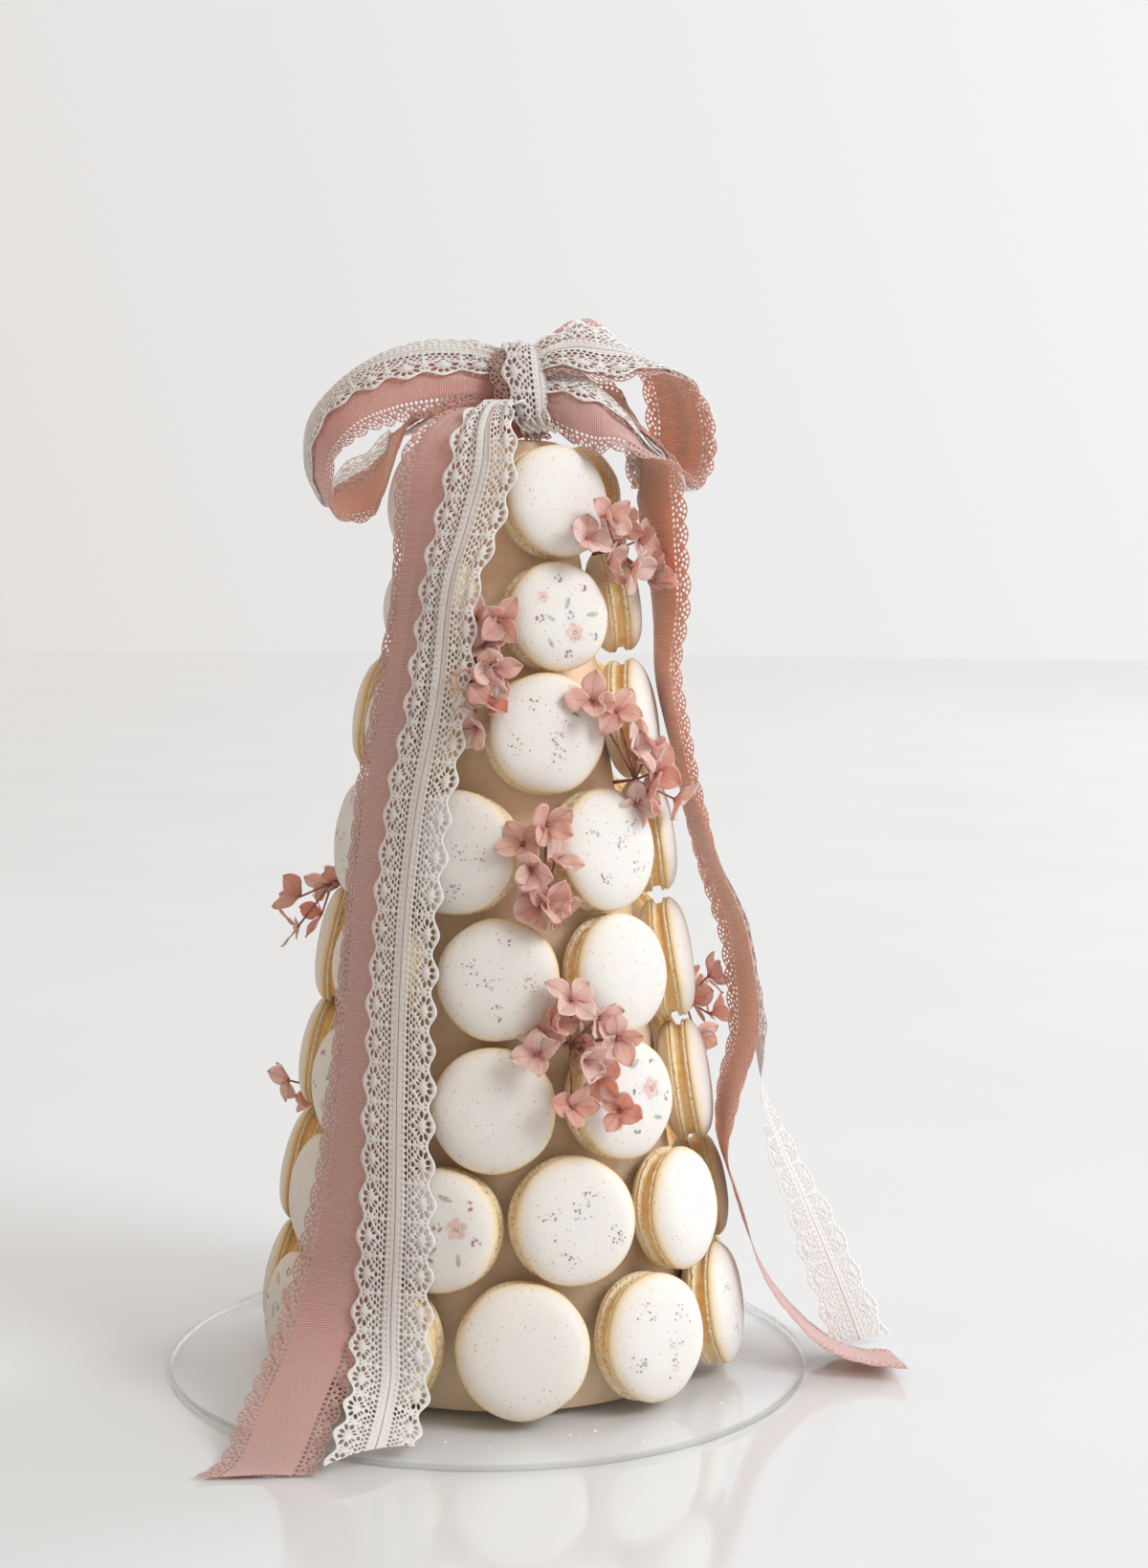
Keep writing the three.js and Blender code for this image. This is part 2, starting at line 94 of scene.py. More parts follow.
def ramp(share, stops):
    """A run of colours along a share from 0 to 1: each stop's place, and its values on a paint card."""
    node = put(share.id_data, "ShaderNodeValToRGB", {"Fac": share})
    bar = node.color_ramp
    while len(bar.elements) < len(stops):
        bar.elements.new(1.0)
    for element, (position, *card) in zip(bar.elements, stops):
        element.position = position
        element.color = tint(*card)
    return node.outputs["Color"]


def blended(share, first, second, most=1.0):
    """A mix from one colour to another by a share, which counts for so much at most."""
    if most < 1:
        share = times(share, most)
    sockets = {0: share, 6: first, 7: second}
    return put(share.id_data, "ShaderNodeMix", sockets, data_type="RGBA").outputs[2]


def relief(height, distance, strength=1.0):
    """A bump from a height, as a normal."""
    sockets = {"Height": height, "Distance": distance, "Strength": strength}
    return put(height.id_data, "ShaderNodeBump", sockets).outputs["Normal"]


def grain(place, scale, detail=2.0, roughness=0.5):
    sockets = {"Vector": place, "Scale": scale, "Detail": detail, "Roughness": roughness}
    return put(place.id_data, "ShaderNodeTexNoise", sockets).outputs["Fac"]


def cells(place, scale, **settings):
    """Distances from the middles of scattered cells."""
    sockets = {"Vector": place, "Scale": scale}
    return put(place.id_data, "ShaderNodeTexVoronoi", sockets, **settings).outputs["Distance"]


def spread(value, low, high, first=0.0, second=1.0):
    """A value's range from low to high spread over another range."""
    sockets = {"Value": value, "From Min": low, "From Max": high, "To Min": first, "To Max": second}
    return put(value.id_data, "ShaderNodeMapRange", sockets).outputs["Result"]


def wire(output, shader, socket):
    output.id_data.links.new(output, shader.inputs[socket])


def into_scene(name, data):
    thing = bpy.data.objects.new(name, data)
    bpy.context.collection.objects.link(thing)
    return thing


def add_piece(name, mesh, materials, slot, *nodes):
    """Puts a finished mesh on the tower, in the place of its solids."""
    for material in materials:
        mesh.materials.append(material)
    piece = into_scene(name, mesh)
    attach(piece, "root")
    if nodes:
        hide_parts(*nodes)
    return piece


def to_mesh(name, bm):
    for face in bm.faces:
        face.smooth = True
    mesh = bpy.data.meshes.new(name)
    bm.to_mesh(mesh)
    bm.free()
    return mesh


def turned(foot, top, foot_radius, top_radius, sides, axis=Vector()):
    """A round solid between two heights, as from a lathe."""
    bm = bmesh.new()
    lift = Matrix.Translation(axis + Vector((0, 0, (foot + top) / 2)))
    bmesh.ops.create_cone(bm, cap_ends=True, segments=sides, radius1=foot_radius, radius2=top_radius,
                          depth=top - foot, matrix=lift)
    return bm


def round_off(bm, edges, radius, steps):
    bmesh.ops.bevel(bm, geom=edges, offset=radius, affect="EDGES", segments=steps, profile=0.5, material=-1)


acrylic, shader, place = new_finish("clear_acrylic", {"IOR": 1.49, "Transmission Weight": 1.0})
from_centre = put(place.id_data, "ShaderNodeVectorMath", {0: place}, operation="LENGTH").outputs["Value"]
edge = spread(from_centre, PLATE_RADIUS - PLATE_EDGE_SHOWS, PLATE_RADIUS)
wire(blended(edge, tint(252, 253, 253), tint(196, 210, 206)), shader, "Base Color")
wire(spread(edge, 0, 1, PLATE_ALPHA, PLATE_EDGE_ALPHA), shader, "Alpha")
smears = grain(place, 38, 4, 0.6)
wire(spread(smears, 0.35, 0.8, 0.015, 0.09), shader, "Roughness")
wire(relief(grain(place, 260, 2), 0.02 * MM, 0.4), shader, "Normal")

bm = turned(0, PLATE_THICKNESS, PLATE_RADIUS, PLATE_RADIUS, PLATE_SIDES)
round_off(bm, [e for e in bm.edges if abs(e.verts[0].co.z - e.verts[1].co.z) < 0.1 * MM], PLATE_EDGE_ROUND, 4)
plate_mesh = to_mesh("clear_plate", bm)
for face in plate_mesh.polygons:
    face.use_smooth = abs(face.normal.z) < 0.999
add_piece("clear_plate", plate_mesh, [acrylic], "clear_acrylic", "stand_plate")


# Foam cone: the cone of pressed foam beads that the macarons are fixed to with picks.
# It stands on the plate and shows between the macarons, painted a warm cream for the light they throw onto
# it.
CONE_AXIS = Vector((5 * MM, 5.5 * MM, 0))
CONE_FOOT_RADIUS = 78.8 * MM
CONE_SLOPE = 0.16
CONE_FOOT = 2.9 * MM
CONE_TOP = 360 * MM
CONE_TOP_ROUND = 4 * MM
CONE_SIDES = 96

foam, shader, place = new_finish("pressed_foam", {"Roughness": 0.85, "Specular IOR Level": 0.25})
bead = cells(place, 420, feature="SMOOTH_F1")
# The white foam is painted warm for bounced light, deeper and warmer towards each bead's edge as painted
# shade between beads.
foam_bounce_tone = ramp(bead, [(0.0, 255, 234, 208), (0.8, 255, 221, 186), (1.0, 246, 188, 140)])
wire(foam_bounce_tone, shader, "Base Color")
wire(relief(bead, -0.12 * MM), shader, "Normal")

bm = turned(CONE_FOOT, CONE_TOP, CONE_FOOT_RADIUS - CONE_SLOPE * CONE_FOOT,
            CONE_FOOT_RADIUS - CONE_SLOPE * CONE_TOP, CONE_SIDES, CONE_AXIS)
round_off(bm, [e for e in bm.edges if all(v.co.z > CONE_TOP - MM for v in e.verts)], CONE_TOP_ROUND, 5)
add_piece("pressed_foam_cone", to_mesh("pressed_foam_cone", bm), [foam], "foam", "foam_cone")


# Macarons: two baked almond shells with ruffled feet, pressed together round a caramel filling.
# Each stands on edge, fixed flat against the cone. Some shells are plain, some are flecked with dots of
# edible ink, and some carry a small printed spray of blossoms.
MACARON_HALF = 10 * MM
MACARON_GAP = 0.4 * MM
MACARON_SIDES = 120
PAIR_PRESS = 0.5 * MM
LETTERS = "abcdefg"
# Half of the outline from the middle of a shell to the middle of the filling, as shares of the radius and
# millimetres from the middle plane.
OUTLINE = [
    (0, 10), (0.18, 9.95), (0.34, 9.8), (0.48, 9.55), (0.6, 9.15), (0.7, 8.6), (0.79, 7.9), (0.86, 7.1),
    (0.915, 6.2), (0.955, 5.3), (0.98, 4.5), (0.992, 3.9), (0.988, 3.5), (0.97, 3.3), (0.958, 3.2),
    (0.972, 3.0), (0.988, 2.7), (0.992, 2.4), (0.985, 2.1), (0.97, 1.85), (0.945, 1.65), (0.915, 1.5),
    (0.905, 1.1), (0.91, 0.5), (0.912, 0),
]
SKIN = OUTLINE[:12]
WIDEST = SKIN[-1][0]
SHELL_FROM = 3.25 * MM
FOOT_FROM = 1.55 * MM
RUFFLE_OUT = 0.75 * MM
RUFFLE_UP = 0.22 * MM
FOOT_INSET = 0.1 * MM
RIM_SWAY = 0.16 * MM
WARP = 0.12 * MM
# Tiers from the bottom up: each single macaron as angle, height, diameter and how its shell is decorated,
# then each pair that touches round the back.
TIERS = [
    ([(-98, 27, 46, "dots"), (-63, 27, 46, "spray"), (-29, 27, 47, "plain"), (6.5, 28, 49, "plain"),
      (41.5, 27, 47.5, "dots"), (76, 27, 47, "dots")],
     [(131, 27, 46), (207, 27, 46)]),
    ([(-98, 73, 47, "plain"), (-56, 74, 46, "plain"), (-15, 70, 45, "spray"), (20.5, 73, 47, "dots"),
      (58, 70, 46, "plain"), (97, 66, 42, "plain"), (136, 71, 45, "dots")],
     [(199, 72, 46)]),
    ([(-98, 119.5, 45, "plain"), (-50, 118, 46, "spray"), (-1.5, 113.5, 46, "plain"),
      (38.5, 115, 45, "spray"), (86, 112, 47, "plain"), (130, 115, 46, "dots")],
     [(196, 118.5, 46)]),
    ([(-92, 163, 46, "dots"), (-46, 162, 45, "dots"), (-0.5, 160.5, 45, "dots"), (42, 160.5, 45, "plain"),
      (86, 160, 47, "plain"), (131, 161, 45, "spray")],
     [(200, 164, 45)]),
    ([(-67, 208, 46, "dots"), (-16, 206, 46, "dots"), (41, 206.5, 46, "dots"), (91, 208, 45, "plain"),
      (141, 207, 45, "dots")],
     [(217, 207, 45)]),
    ([(-101, 254, 45, "plain"), (-43, 253, 45, "dots"), (18, 250, 45, "dots"), (81, 254, 46, "plain")],
     [(170, 254, 45)]),
    ([(-42, 297, 41, "plain"), (26, 293, 41, "spray"), (95, 299, 40, "plain")],
     [(202, 298, 41)]),
    ([(-62, 338, 41, "plain"), (30, 336, 42.5, "plain")],
     [(158, 339, 41)]),
]
PAIR_DECOR = ["dots", "plain", "spray", "dots", "plain", "dots", "plain", "spray", "plain"]
SHELL, FOOT, FILLING, MAUVE, ROSE, SAGE, SLATE = range(7)
INK_LIFT = 0.03 * MM
INK_STEP = 0.004 * MM
# The dots, in shares of the radius: how far out their clusters lie, how they scatter and how far they go.
DOT_CLUSTERS = (0.12, 0.5, 0.55, 0.62, 0.45)
DOT_SCATTER = 0.085
PRINT_REACH = 0.84

tilt = atan(CONE_SLOPE)


def ring_radius(height):
    """Distance of macaron centres from the cone's axis at a height."""
    return CONE_FOOT_RADIUS - CONE_SLOPE * height + (MACARON_HALF + MACARON_GAP) / cos(tilt)


def tower_frame(angle, height, lift=0.0):
    """A frame on the macarons' ring: X runs round the tower, Y in towards the cone and Z up its side."""
    turn = Matrix.Translation(CONE_AXIS) @ Matrix.Rotation(radians(angle), 4, "Z")
    turn = turn @ Matrix.Translation((0, -ring_radius(height), height)) @ Matrix.Rotation(-tilt, 4, "X")
    return turn @ Matrix.Translation((0, -lift, 0))


def dome(out):
    """Height of a shell's skin above the middle plane at a share of the radius."""
    return float(np.interp(out, [share for share, _ in SKIN], [up * MM for _, up in SKIN]))


def mottled_finish(name, sockets, grain_of, stops, bump=0.0):
    """A finish whose colour, and relief if it has any, follow one grain."""
    material, shader, place = new_finish(name, sockets)
    tone = grain(place, *grain_of)
    wire(ramp(tone, stops), shader, "Base Color")
    if bump:
        wire(relief(tone, bump), shader, "Normal")
    return material


def lit_through(weight, radius, scale):
    """The sockets of a finish that light passes into."""
    return {"Subsurface Weight": weight, "Subsurface Radius": radius, "Subsurface Scale": scale}


shell, shader, place = new_finish("baked_shell", {
    **lit_through(0.4, (1.0, 0.55, 0.25), 4 * MM), "Specular IOR Level": 0.3,
})
bake = put(place.id_data, "ShaderNodeAttribute", attribute_name="bake").outputs["Fac"]
mottle = grain(place, 55, 3, 0.55)
browned_and_glowing = calc("ADD", bake, spread(mottle, 0.3, 0.7, -0.018, 0.012))
# Towards the rim the shell turns golden: partly its browning, partly a painted warm glow of light in its
# shade.
crust = ramp(browned_and_glowing, [
    (0.0, 237, 236, 235), (0.87, 238, 234, 229), (0.95, 241, 229, 209),
    (0.98, 239, 214, 172), (1.0, 230, 193, 136),
])
patches = spread(grain(place, 130, 4, 0.65), 0.35, 0.75)
crust = blended(patches, crust, tint(231, 218, 200), 0.22)
fleck = spread(cells(place, 480), 0.12, 0.24, 1.0, 0.0)
rare = spread(grain(place, 300, 1), 0.48, 0.58)
crust = blended(times(fleck, rare), crust, tint(202, 166, 126), 0.62)
wire(crust, shader, "Base Color")
wire(spread(mottle, 0.3, 0.7, 0.48, 0.66), shader, "Roughness")
pimples = spread(cells(place, 430), 0.05, 0.3, 1.0, 0.0)
skin = calc("ADD", grain(place, 900, 3, 0.6), times(pimples, 0.5))
wire(relief(skin, 0.13 * MM), shader, "Normal")

foot, shader, place = new_finish("ruffled_foot", {
    **lit_through(0.4, (1.0, 0.55, 0.25), 3 * MM), "Roughness": 0.75,
})
crumb = grain(place, 700, 4, 0.7)
depth = times(crumb, spread(cells(place, 800), 0.1, 0.45))
# The foot is drawn darker and warmer in its pits: painted shade in its pores.
foot_tone = ramp(depth, [(0.04, 226, 168, 100), (0.2, 250, 213, 156), (0.45, 255, 237, 206)])
wire(foot_tone, shader, "Base Color")
wire(relief(depth, 0.7 * MM), shader, "Normal")

filling = mottled_finish("caramel_filling", {
    **lit_through(0.5, (1.0, 0.5, 0.15), 4 * MM), "Roughness": 0.4,
}, (240, 3, 0.6), [(0.3, 246, 194, 122), (0.7, 255, 226, 170)], 0.5 * MM)

macaron_finishes = [shell, foot, filling]
for ink, strong, faint in [
    ("mauve_ink", (158, 112, 114), (206, 174, 168)),
    ("rose_ink", (224, 186, 176), (240, 219, 208)),
    ("sage_ink", (168, 172, 146), (218, 216, 196)),
    ("slate_ink", (142, 146, 144), (198, 196, 190)),
]:
    macaron_finishes.append(mottled_finish(ink, {"Roughness": 0.6, "Specular IOR Level": 0.3}, (900, 2),
                                           [(0.35, *strong), (0.68, *faint)]))

bm = bmesh.new()
half = [(share, up * MM) for share, up in OUTLINE]
outline = [(share, -up) for share, up in half] + half[-2::-1]
points = [bm.verts.new((share, up, 0)) for share, up in outline]
edges = [bm.edges.new(pair) for pair in zip(points, points[1:])]
bmesh.ops.spin(bm, geom=points + edges, cent=(0, 0, 0), axis=(0, 1, 0), angle=tau,
               steps=MACARON_SIDES, use_merge=True)
bmesh.ops.remove_doubles(bm, verts=bm.verts, dist=0.01 * MM)
bmesh.ops.recalc_face_normals(bm, faces=bm.faces)
for face in bm.faces:
    up = abs(face.calc_center_median().y)
    face.material_index = SHELL if up > SHELL_FROM else FOOT if up > FOOT_FROM else FILLING
blank = to_mesh("macaron_blank", bm)


def paint(verts, finish):
    """Gives the faces at some new points their finish."""
    for face in {face for vert in verts for face in vert.link_faces}:
        face.material_index = finish


def off(x, z, reach, around):
    """The place at a reach and an angle from another."""
    return x + reach * cos(around), z + reach * sin(around)


def dab(bm, x, z, width, height, turn, ink, order, sides):
    """One dab of edible ink on the outer shell: its place, half sizes as shares of the radius, and turn."""
    spot = Matrix.Translation((x, 0, z)) @ Matrix.Rotation(turn, 4, "Y")
    spot = spot @ Matrix.Rotation(pi / 2, 4, "X") @ Matrix.Diagonal((width, height, 1, 1))
    made = bmesh.ops.create_circle(bm, cap_ends=True, segments=sides, radius=1.0, matrix=spot)
    for vert in made["verts"]:
        vert.co.y = -dome(hypot(vert.co.x, vert.co.z)) - INK_LIFT - INK_STEP * order
    paint(made["verts"], ink)


def print_dots(bm, chance):
    """Loose clusters of tiny dots."""
    turn = chance.uniform(0, tau)
    for cluster, reach in enumerate(DOT_CLUSTERS):
        x_middle, z_middle = off(0, 0, reach, turn + cluster * tau / 4.3)
        for i in range(chance.randint(9, 15)):
            x = x_middle + chance.gauss(0, DOT_SCATTER)
            z = z_middle + chance.gauss(0, DOT_SCATTER)
            size = chance.uniform(0.01, 0.024)
            if hypot(x, z) < PRINT_REACH:
                dab(bm, x, z, size, size, 0, chance.choice([MAUVE, ROSE, SAGE, SLATE, MAUVE]), i % 5, 7)


def print_blossom(bm, chance, x, z, size):
    """An open blossom of five petals with a dotted eye."""
    turn = chance.uniform(0, tau)
    for petal in range(5):
        around = turn + petal * tau / 5
        dab(bm, *off(x, z, 0.6 * size, around), 0.52 * size, 0.42 * size, -around, ROSE, petal % 3, 12)
    for seed in range(5):
        around = turn + 0.6 + seed * tau / 5
        dab(bm, *off(x, z, 0.2 * size, around), 0.1 * size, 0.1 * size, 0, MAUVE, 4, 7)


def print_spray(bm, chance):
    """A printed spray: two blossoms, leaves on thin stalks and sprigs of berries."""
    turn = chance.uniform(0, tau)
    print_blossom(bm, chance, *off(0, 0, 0.38, turn), 0.17)
    print_blossom(bm, chance, *off(0, 0, 0.52, turn + 3.6), 0.1)
    for reach, around, size in [(0.2, 2.4, 0.11), (0.56, 1.1, 0.12), (0.6, 5.3, 0.1), (0.3, 4.5, 0.09)]:
        x, z = off(0, 0, reach, turn + around)
        lean = chance.uniform(0, tau)
        dab(bm, x, z, size, 0.36 * size, lean, SAGE, 1, 12)
        dab(bm, x, z, 1.35 * size, 0.03 * size, lean, SLATE, 3, 8)
    for reach, around in [(0.62, 2.0), (0.66, 2.8), (0.5, 4.4), (0.7, 0.5), (0.72, 5.9), (0.1, 0.8)]:
        x, z = off(0, 0, reach, turn + around)
        for berry in range(6):
            step = chance.uniform(0, tau)
            size = chance.uniform(0.016, 0.034)
            ink = chance.choice([MAUVE, MAUVE, SLATE])
            dab(bm, *off(x, z, 0.06, step), size, size, 0, ink, berry % 4, 8)


def spots_of(mesh):
    """The places of a mesh's points, as three rows of numbers."""
    spots = np.empty(len(mesh.vertices) * 3)
    mesh.vertices.foreach_get("co", spots)
    return spots.reshape(-1, 3).T


def move_spots(mesh, spots):
    mesh.vertices.foreach_set("co", spots.astype(np.float32).ravel())
    mesh.update()


def set_bake_and_glow(mesh, share):
    """How far each point of a shell is browned, and how much painted warm glow it takes at the rim."""
    mesh.attributes.new("bake", "FLOAT", "POINT").data.foreach_set("value", share.astype(np.float32))


def add_macaron(name, node, frame_at, diameter, decor, seed):
    """One macaron: the blank with its print, baked a little uneven and set in its frame."""
    chance = random.Random(seed)
    bm = bmesh.new()
    bm.from_mesh(blank)
    if decor == "dots":
        print_dots(bm, chance)
    elif decor == "spray":
        print_spray(bm, chance)
    mesh = to_mesh(name, bm)
    x, up, z = spots_of(mesh)
    out, around, side = np.hypot(x, z), np.arctan2(z, x), np.sign(up)
    set_bake_and_glow(mesh, np.where(np.abs(up) > SHELL_FROM, out, 1.0))
    uneven = sum(chance.uniform(0.002, 0.006) * np.sin(waves * around + chance.uniform(0, 6) + 0.4 * side)
                 for waves in (2, 3, 5, 7))
    on_foot = (np.abs(up) > FOOT_FROM) & (np.abs(up) < SHELL_FROM) & (out > 0.9)
    ruffle = sum(np.sin(chance.randint(16, 58) * around + chance.uniform(-2400, 2400) * up
                        + chance.uniform(0, 6)) for _ in range(9)) / 9
    sway = sum(chance.uniform(-1, 1) * np.sin(waves * around + chance.uniform(0, 6)) for waves in (2, 3, 4))
    radius = diameter / 2 * MM / WIDEST
    out = out * radius * (1 + uneven * np.minimum(out, 1)) + on_foot * (RUFFLE_OUT * ruffle - FOOT_INSET)
    up = up + on_foot * RUFFLE_UP * ruffle + (out > 0.8 * radius) * RIM_SWAY * sway * side
    up = up + WARP * side * np.sin(2 * around + chance.uniform(0, 6)) * (out / radius) ** 2
    laid = np.stack([out * np.cos(around), up, out * np.sin(around)], 1)
    turn = np.array(frame_at)
    move_spots(mesh, laid @ turn[:3, :3].T + turn[:3, 3])
    add_piece(name, mesh, macaron_finishes, "baked_shell", node)


seed = 100
pair_count = 0
for tier, (singles, pairs) in enumerate(TIERS, 1):
    for letter, (angle, height, diameter, decor) in zip(LETTERS, singles):
        seed += 1
        add_macaron(f"baked_macaron_{tier}_{letter}", f"macaron_{tier}_{letter}",
                    tower_frame(angle, height * MM), diameter, decor, seed)
    for number, (angle, height, diameter) in enumerate(pairs, 1):
        apart = degrees(atan((diameter / 2 * MM - PAIR_PRESS) / ring_radius(height * MM)))
        for side, step in (("right", -apart), ("left", apart)):
            seed += 1
            decor = PAIR_DECOR[(pair_count + (step > 0)) % len(PAIR_DECOR)]
            add_macaron(f"baked_macaron_{tier}_back_{number}_{side}", f"macaron_pair_{tier}_{number}",
                        tower_frame(angle + step, height * MM), diameter, decor, seed)
        pair_count += 1
bpy.data.meshes.remove(blank)


# Hydrangea: sprigs of dried, dusty-pink florets, each floret four broad veined petals on a thin stalk.
# A sprig's stem is pushed in between the macarons.
FLORET_RADIUS = 11.5 * MM
PETAL_THICKNESS = 0.16 * MM
STALK_RADIUS = 0.45 * MM
STEM_DEPTH = 11 * MM
FORK_DEPTH = 1 * MM
FLORET_LEAN = radians(24)
FLORET_TURN = radians(37)
INNER_FLORETS = 2
INNER_LEAN = radians(45)
PETAL_GRID = 10
PETAL_LAP = 0.12 * MM
EYE_RADIUS = 0.85 * MM
EYE_LIFT = 0.7 * MM
# Sprigs: the gap that the stem is pushed into as angle and height, and each floret as angle, height and how
# far it stands off the macarons' faces.
SPRIGS = {
    "upper_right": ((61, 317), [(46, 328, 6), (56, 309, 7), (72, 320, 5), (70, 303, 9), (36, 320, 4),
                                (50, 312, 1), (60, 325, 2), (77, 309, 4)]),
    "upper_left": ((-11, 272), [(-1, 290, 4), (-3, 272, 4), (-4, 259, 5), (-7, 281, 2), (-8, 266, 2),
                                (-9, 251, 1), (-11, 291, 1)]),
    "right": ((54, 231), [(41, 256, 6), (46, 242, 7), (59, 233, 5), (66, 222, 7), (33, 261, 3), (53, 246, 3),
                          (61, 241, 2), (54, 226, 4)]),
    "middle": ((13, 185), [(14, 216, 5), (9, 200, 6), (14, 188, 2), (7, 209, 2), (17, 203, 1)]),
    "centre": ((20, 137), [(19, 153, 6), (10, 134, 5), (21, 131, 8), (32, 138, 5), (18, 115, 6), (30, 112, 7),
                           (14, 144, 3), (26, 124, 5), (27, 146, 4)]),
    "right_back": ((109, 137), [(99, 147, 6), (105, 130, 7), (118, 140, 5), (116, 119, 6)]),
    "left_back": ((-92, 186), [(-90, 179, 10), (-97, 165, 11), (-108, 182, 6), (-112, 168, 9)]),
    "lower_left": ((-118, 95), [(-107, 100, 9), (-119, 90, 5), (-131, 98, 6)]),
}


def map_axes(tree, name):
    """The two axes of a piece's own flat map."""
    flat = put(tree, "ShaderNodeUVMap", uv_map=name).outputs["UV"]
    axes = put(tree, "ShaderNodeSeparateXYZ", {"Vector": flat}).outputs
    return axes["X"], axes["Y"]


def ripple(place, rate):
    """A wave from -1 to 1, at a rate in radians to a unit of the place."""
    return calc("SINE", times(place, rate))


petal_skin, shader, place = new_finish("dried_petal", {
    **lit_through(0.65, (1.0, 0.55, 0.46), MM), "Roughness": 0.62, "Sheen Weight": 0.2,
})
across, along = map_axes(place.id_data, "petal")
tone = put(place.id_data, "ShaderNodeAttribute", attribute_name="tone").outputs["Fac"]
off_middle = calc("ABSOLUTE", calc("SUBTRACT", across, 0.5))
branch = calc("SUBTRACT", along, times(off_middle, 0.85))
wander = times(grain(place, 260, 2), 0.08)
side_veins = spread(ripple(calc("ADD", branch, wander), 50.0), 0.8, 1.0)
midrib = spread(off_middle, 0.012, 0.035, 1.0, 0.0)
veins = calc("MAXIMUM", times(side_veins, 0.55), midrib)
flesh = ramp(along, [
    (0.0, 134, 62, 60), (0.1, 196, 132, 124), (0.35, 232, 190, 181),
    (0.85, 235, 197, 188), (1.0, 216, 162, 150),
])
flesh = blended(tone, flesh, tint(206, 138, 120))
flesh = blended(veins, flesh, tint(160, 98, 98), 0.38)
blotch = spread(grain(place, 190, 3, 0.6), 0.42, 0.75)
flesh = blended(blotch, flesh, tint(235, 206, 204), 0.3)
# The petals' edges and tips are lightened: a painted highlight where they catch the light.
edge_highlight = calc("MAXIMUM", spread(off_middle, 0.47, 0.5), spread(along, 0.96, 1.0))
flesh = blended(edge_highlight, flesh, tint(238, 212, 206), 0.5)
wire(flesh, shader, "Base Color")
wire(relief(calc("ADD", veins, grain(place, 500, 3)), 0.14 * MM), shader, "Normal")

stalk_skin = mottled_finish("dried_stalk", {"Roughness": 0.7}, (600, 3),
                            [(0.3, 142, 86, 78), (0.7, 184, 130, 116)], 0.2 * MM)
sprig_finishes = [petal_skin, stalk_skin]
STALK = 1


def add_stalk(bm, start, end, radius):
    """A thin stalk between two points."""
    run = end - start
    turn = run.to_track_quat("Z", "Y").to_matrix().to_4x4()
    spot = Matrix.Translation((start + end) / 2) @ turn
    made = bmesh.ops.create_cone(bm, cap_ends=True, segments=7, radius1=radius, radius2=0.8 * radius,
                                 depth=run.length, matrix=spot)
    paint(made["verts"], STALK)


def add_petal(bm, chance, frame_at, around, tones, veins_at, tone):
    """One petal: a small grid drawn to a broad leaf, cupped, curled and crinkled."""
    made = bmesh.ops.create_grid(bm, x_segments=PETAL_GRID, y_segments=PETAL_GRID, size=0.5)
    length = FLORET_RADIUS * chance.uniform(0.8, 0.98)
    width = length * chance.uniform(0.4, 0.5)
    lift = radians(chance.triangular(-6, 78, 18))
    curl = chance.uniform(-0.3, 0.3)
    fold = chance.uniform(-0.1, 0.55)
    phase = chance.uniform(0, 6)
    spin = Matrix.Rotation(-around, 4, "Y")
    for vert in made["verts"]:
        across, along = vert.co.x * 2, vert.co.y + 0.5
        for loop in vert.link_loops:
            loop[veins_at].uv = (vert.co.x + 0.5, along)
        vert[tones] = tone
        half = width * sin(pi * min(1, 0.06 + 0.94 * along) ** 1.15) ** 0.62 * (1 - 0.1 * along)
        half = max(half * min(1, 0.35 + 2.2 * along) * (1 - 0.22 * along**8), 0.02 * MM)
        reach = 0.4 * MM + length * along
        rise = curl * length * along * along + fold * half * abs(across) ** 1.6
        rise += 0.03 * length * sin(5 * across + phase) * along
        rise += 0.025 * length * sin(9 * along + 2 * across + phase)
        out = reach * cos(lift) - rise * sin(lift)
        up = reach * sin(lift) + rise * cos(lift)
        vert.co = frame_at @ spin @ Vector((out, -up, across * half))


def thicken(piece, thickness):
    """Gives a flat piece its thickness, half to each side."""
    solid = piece.modifiers.new("thickness", "SOLIDIFY")
    solid.thickness = thickness
    solid.offset = 0
    return solid


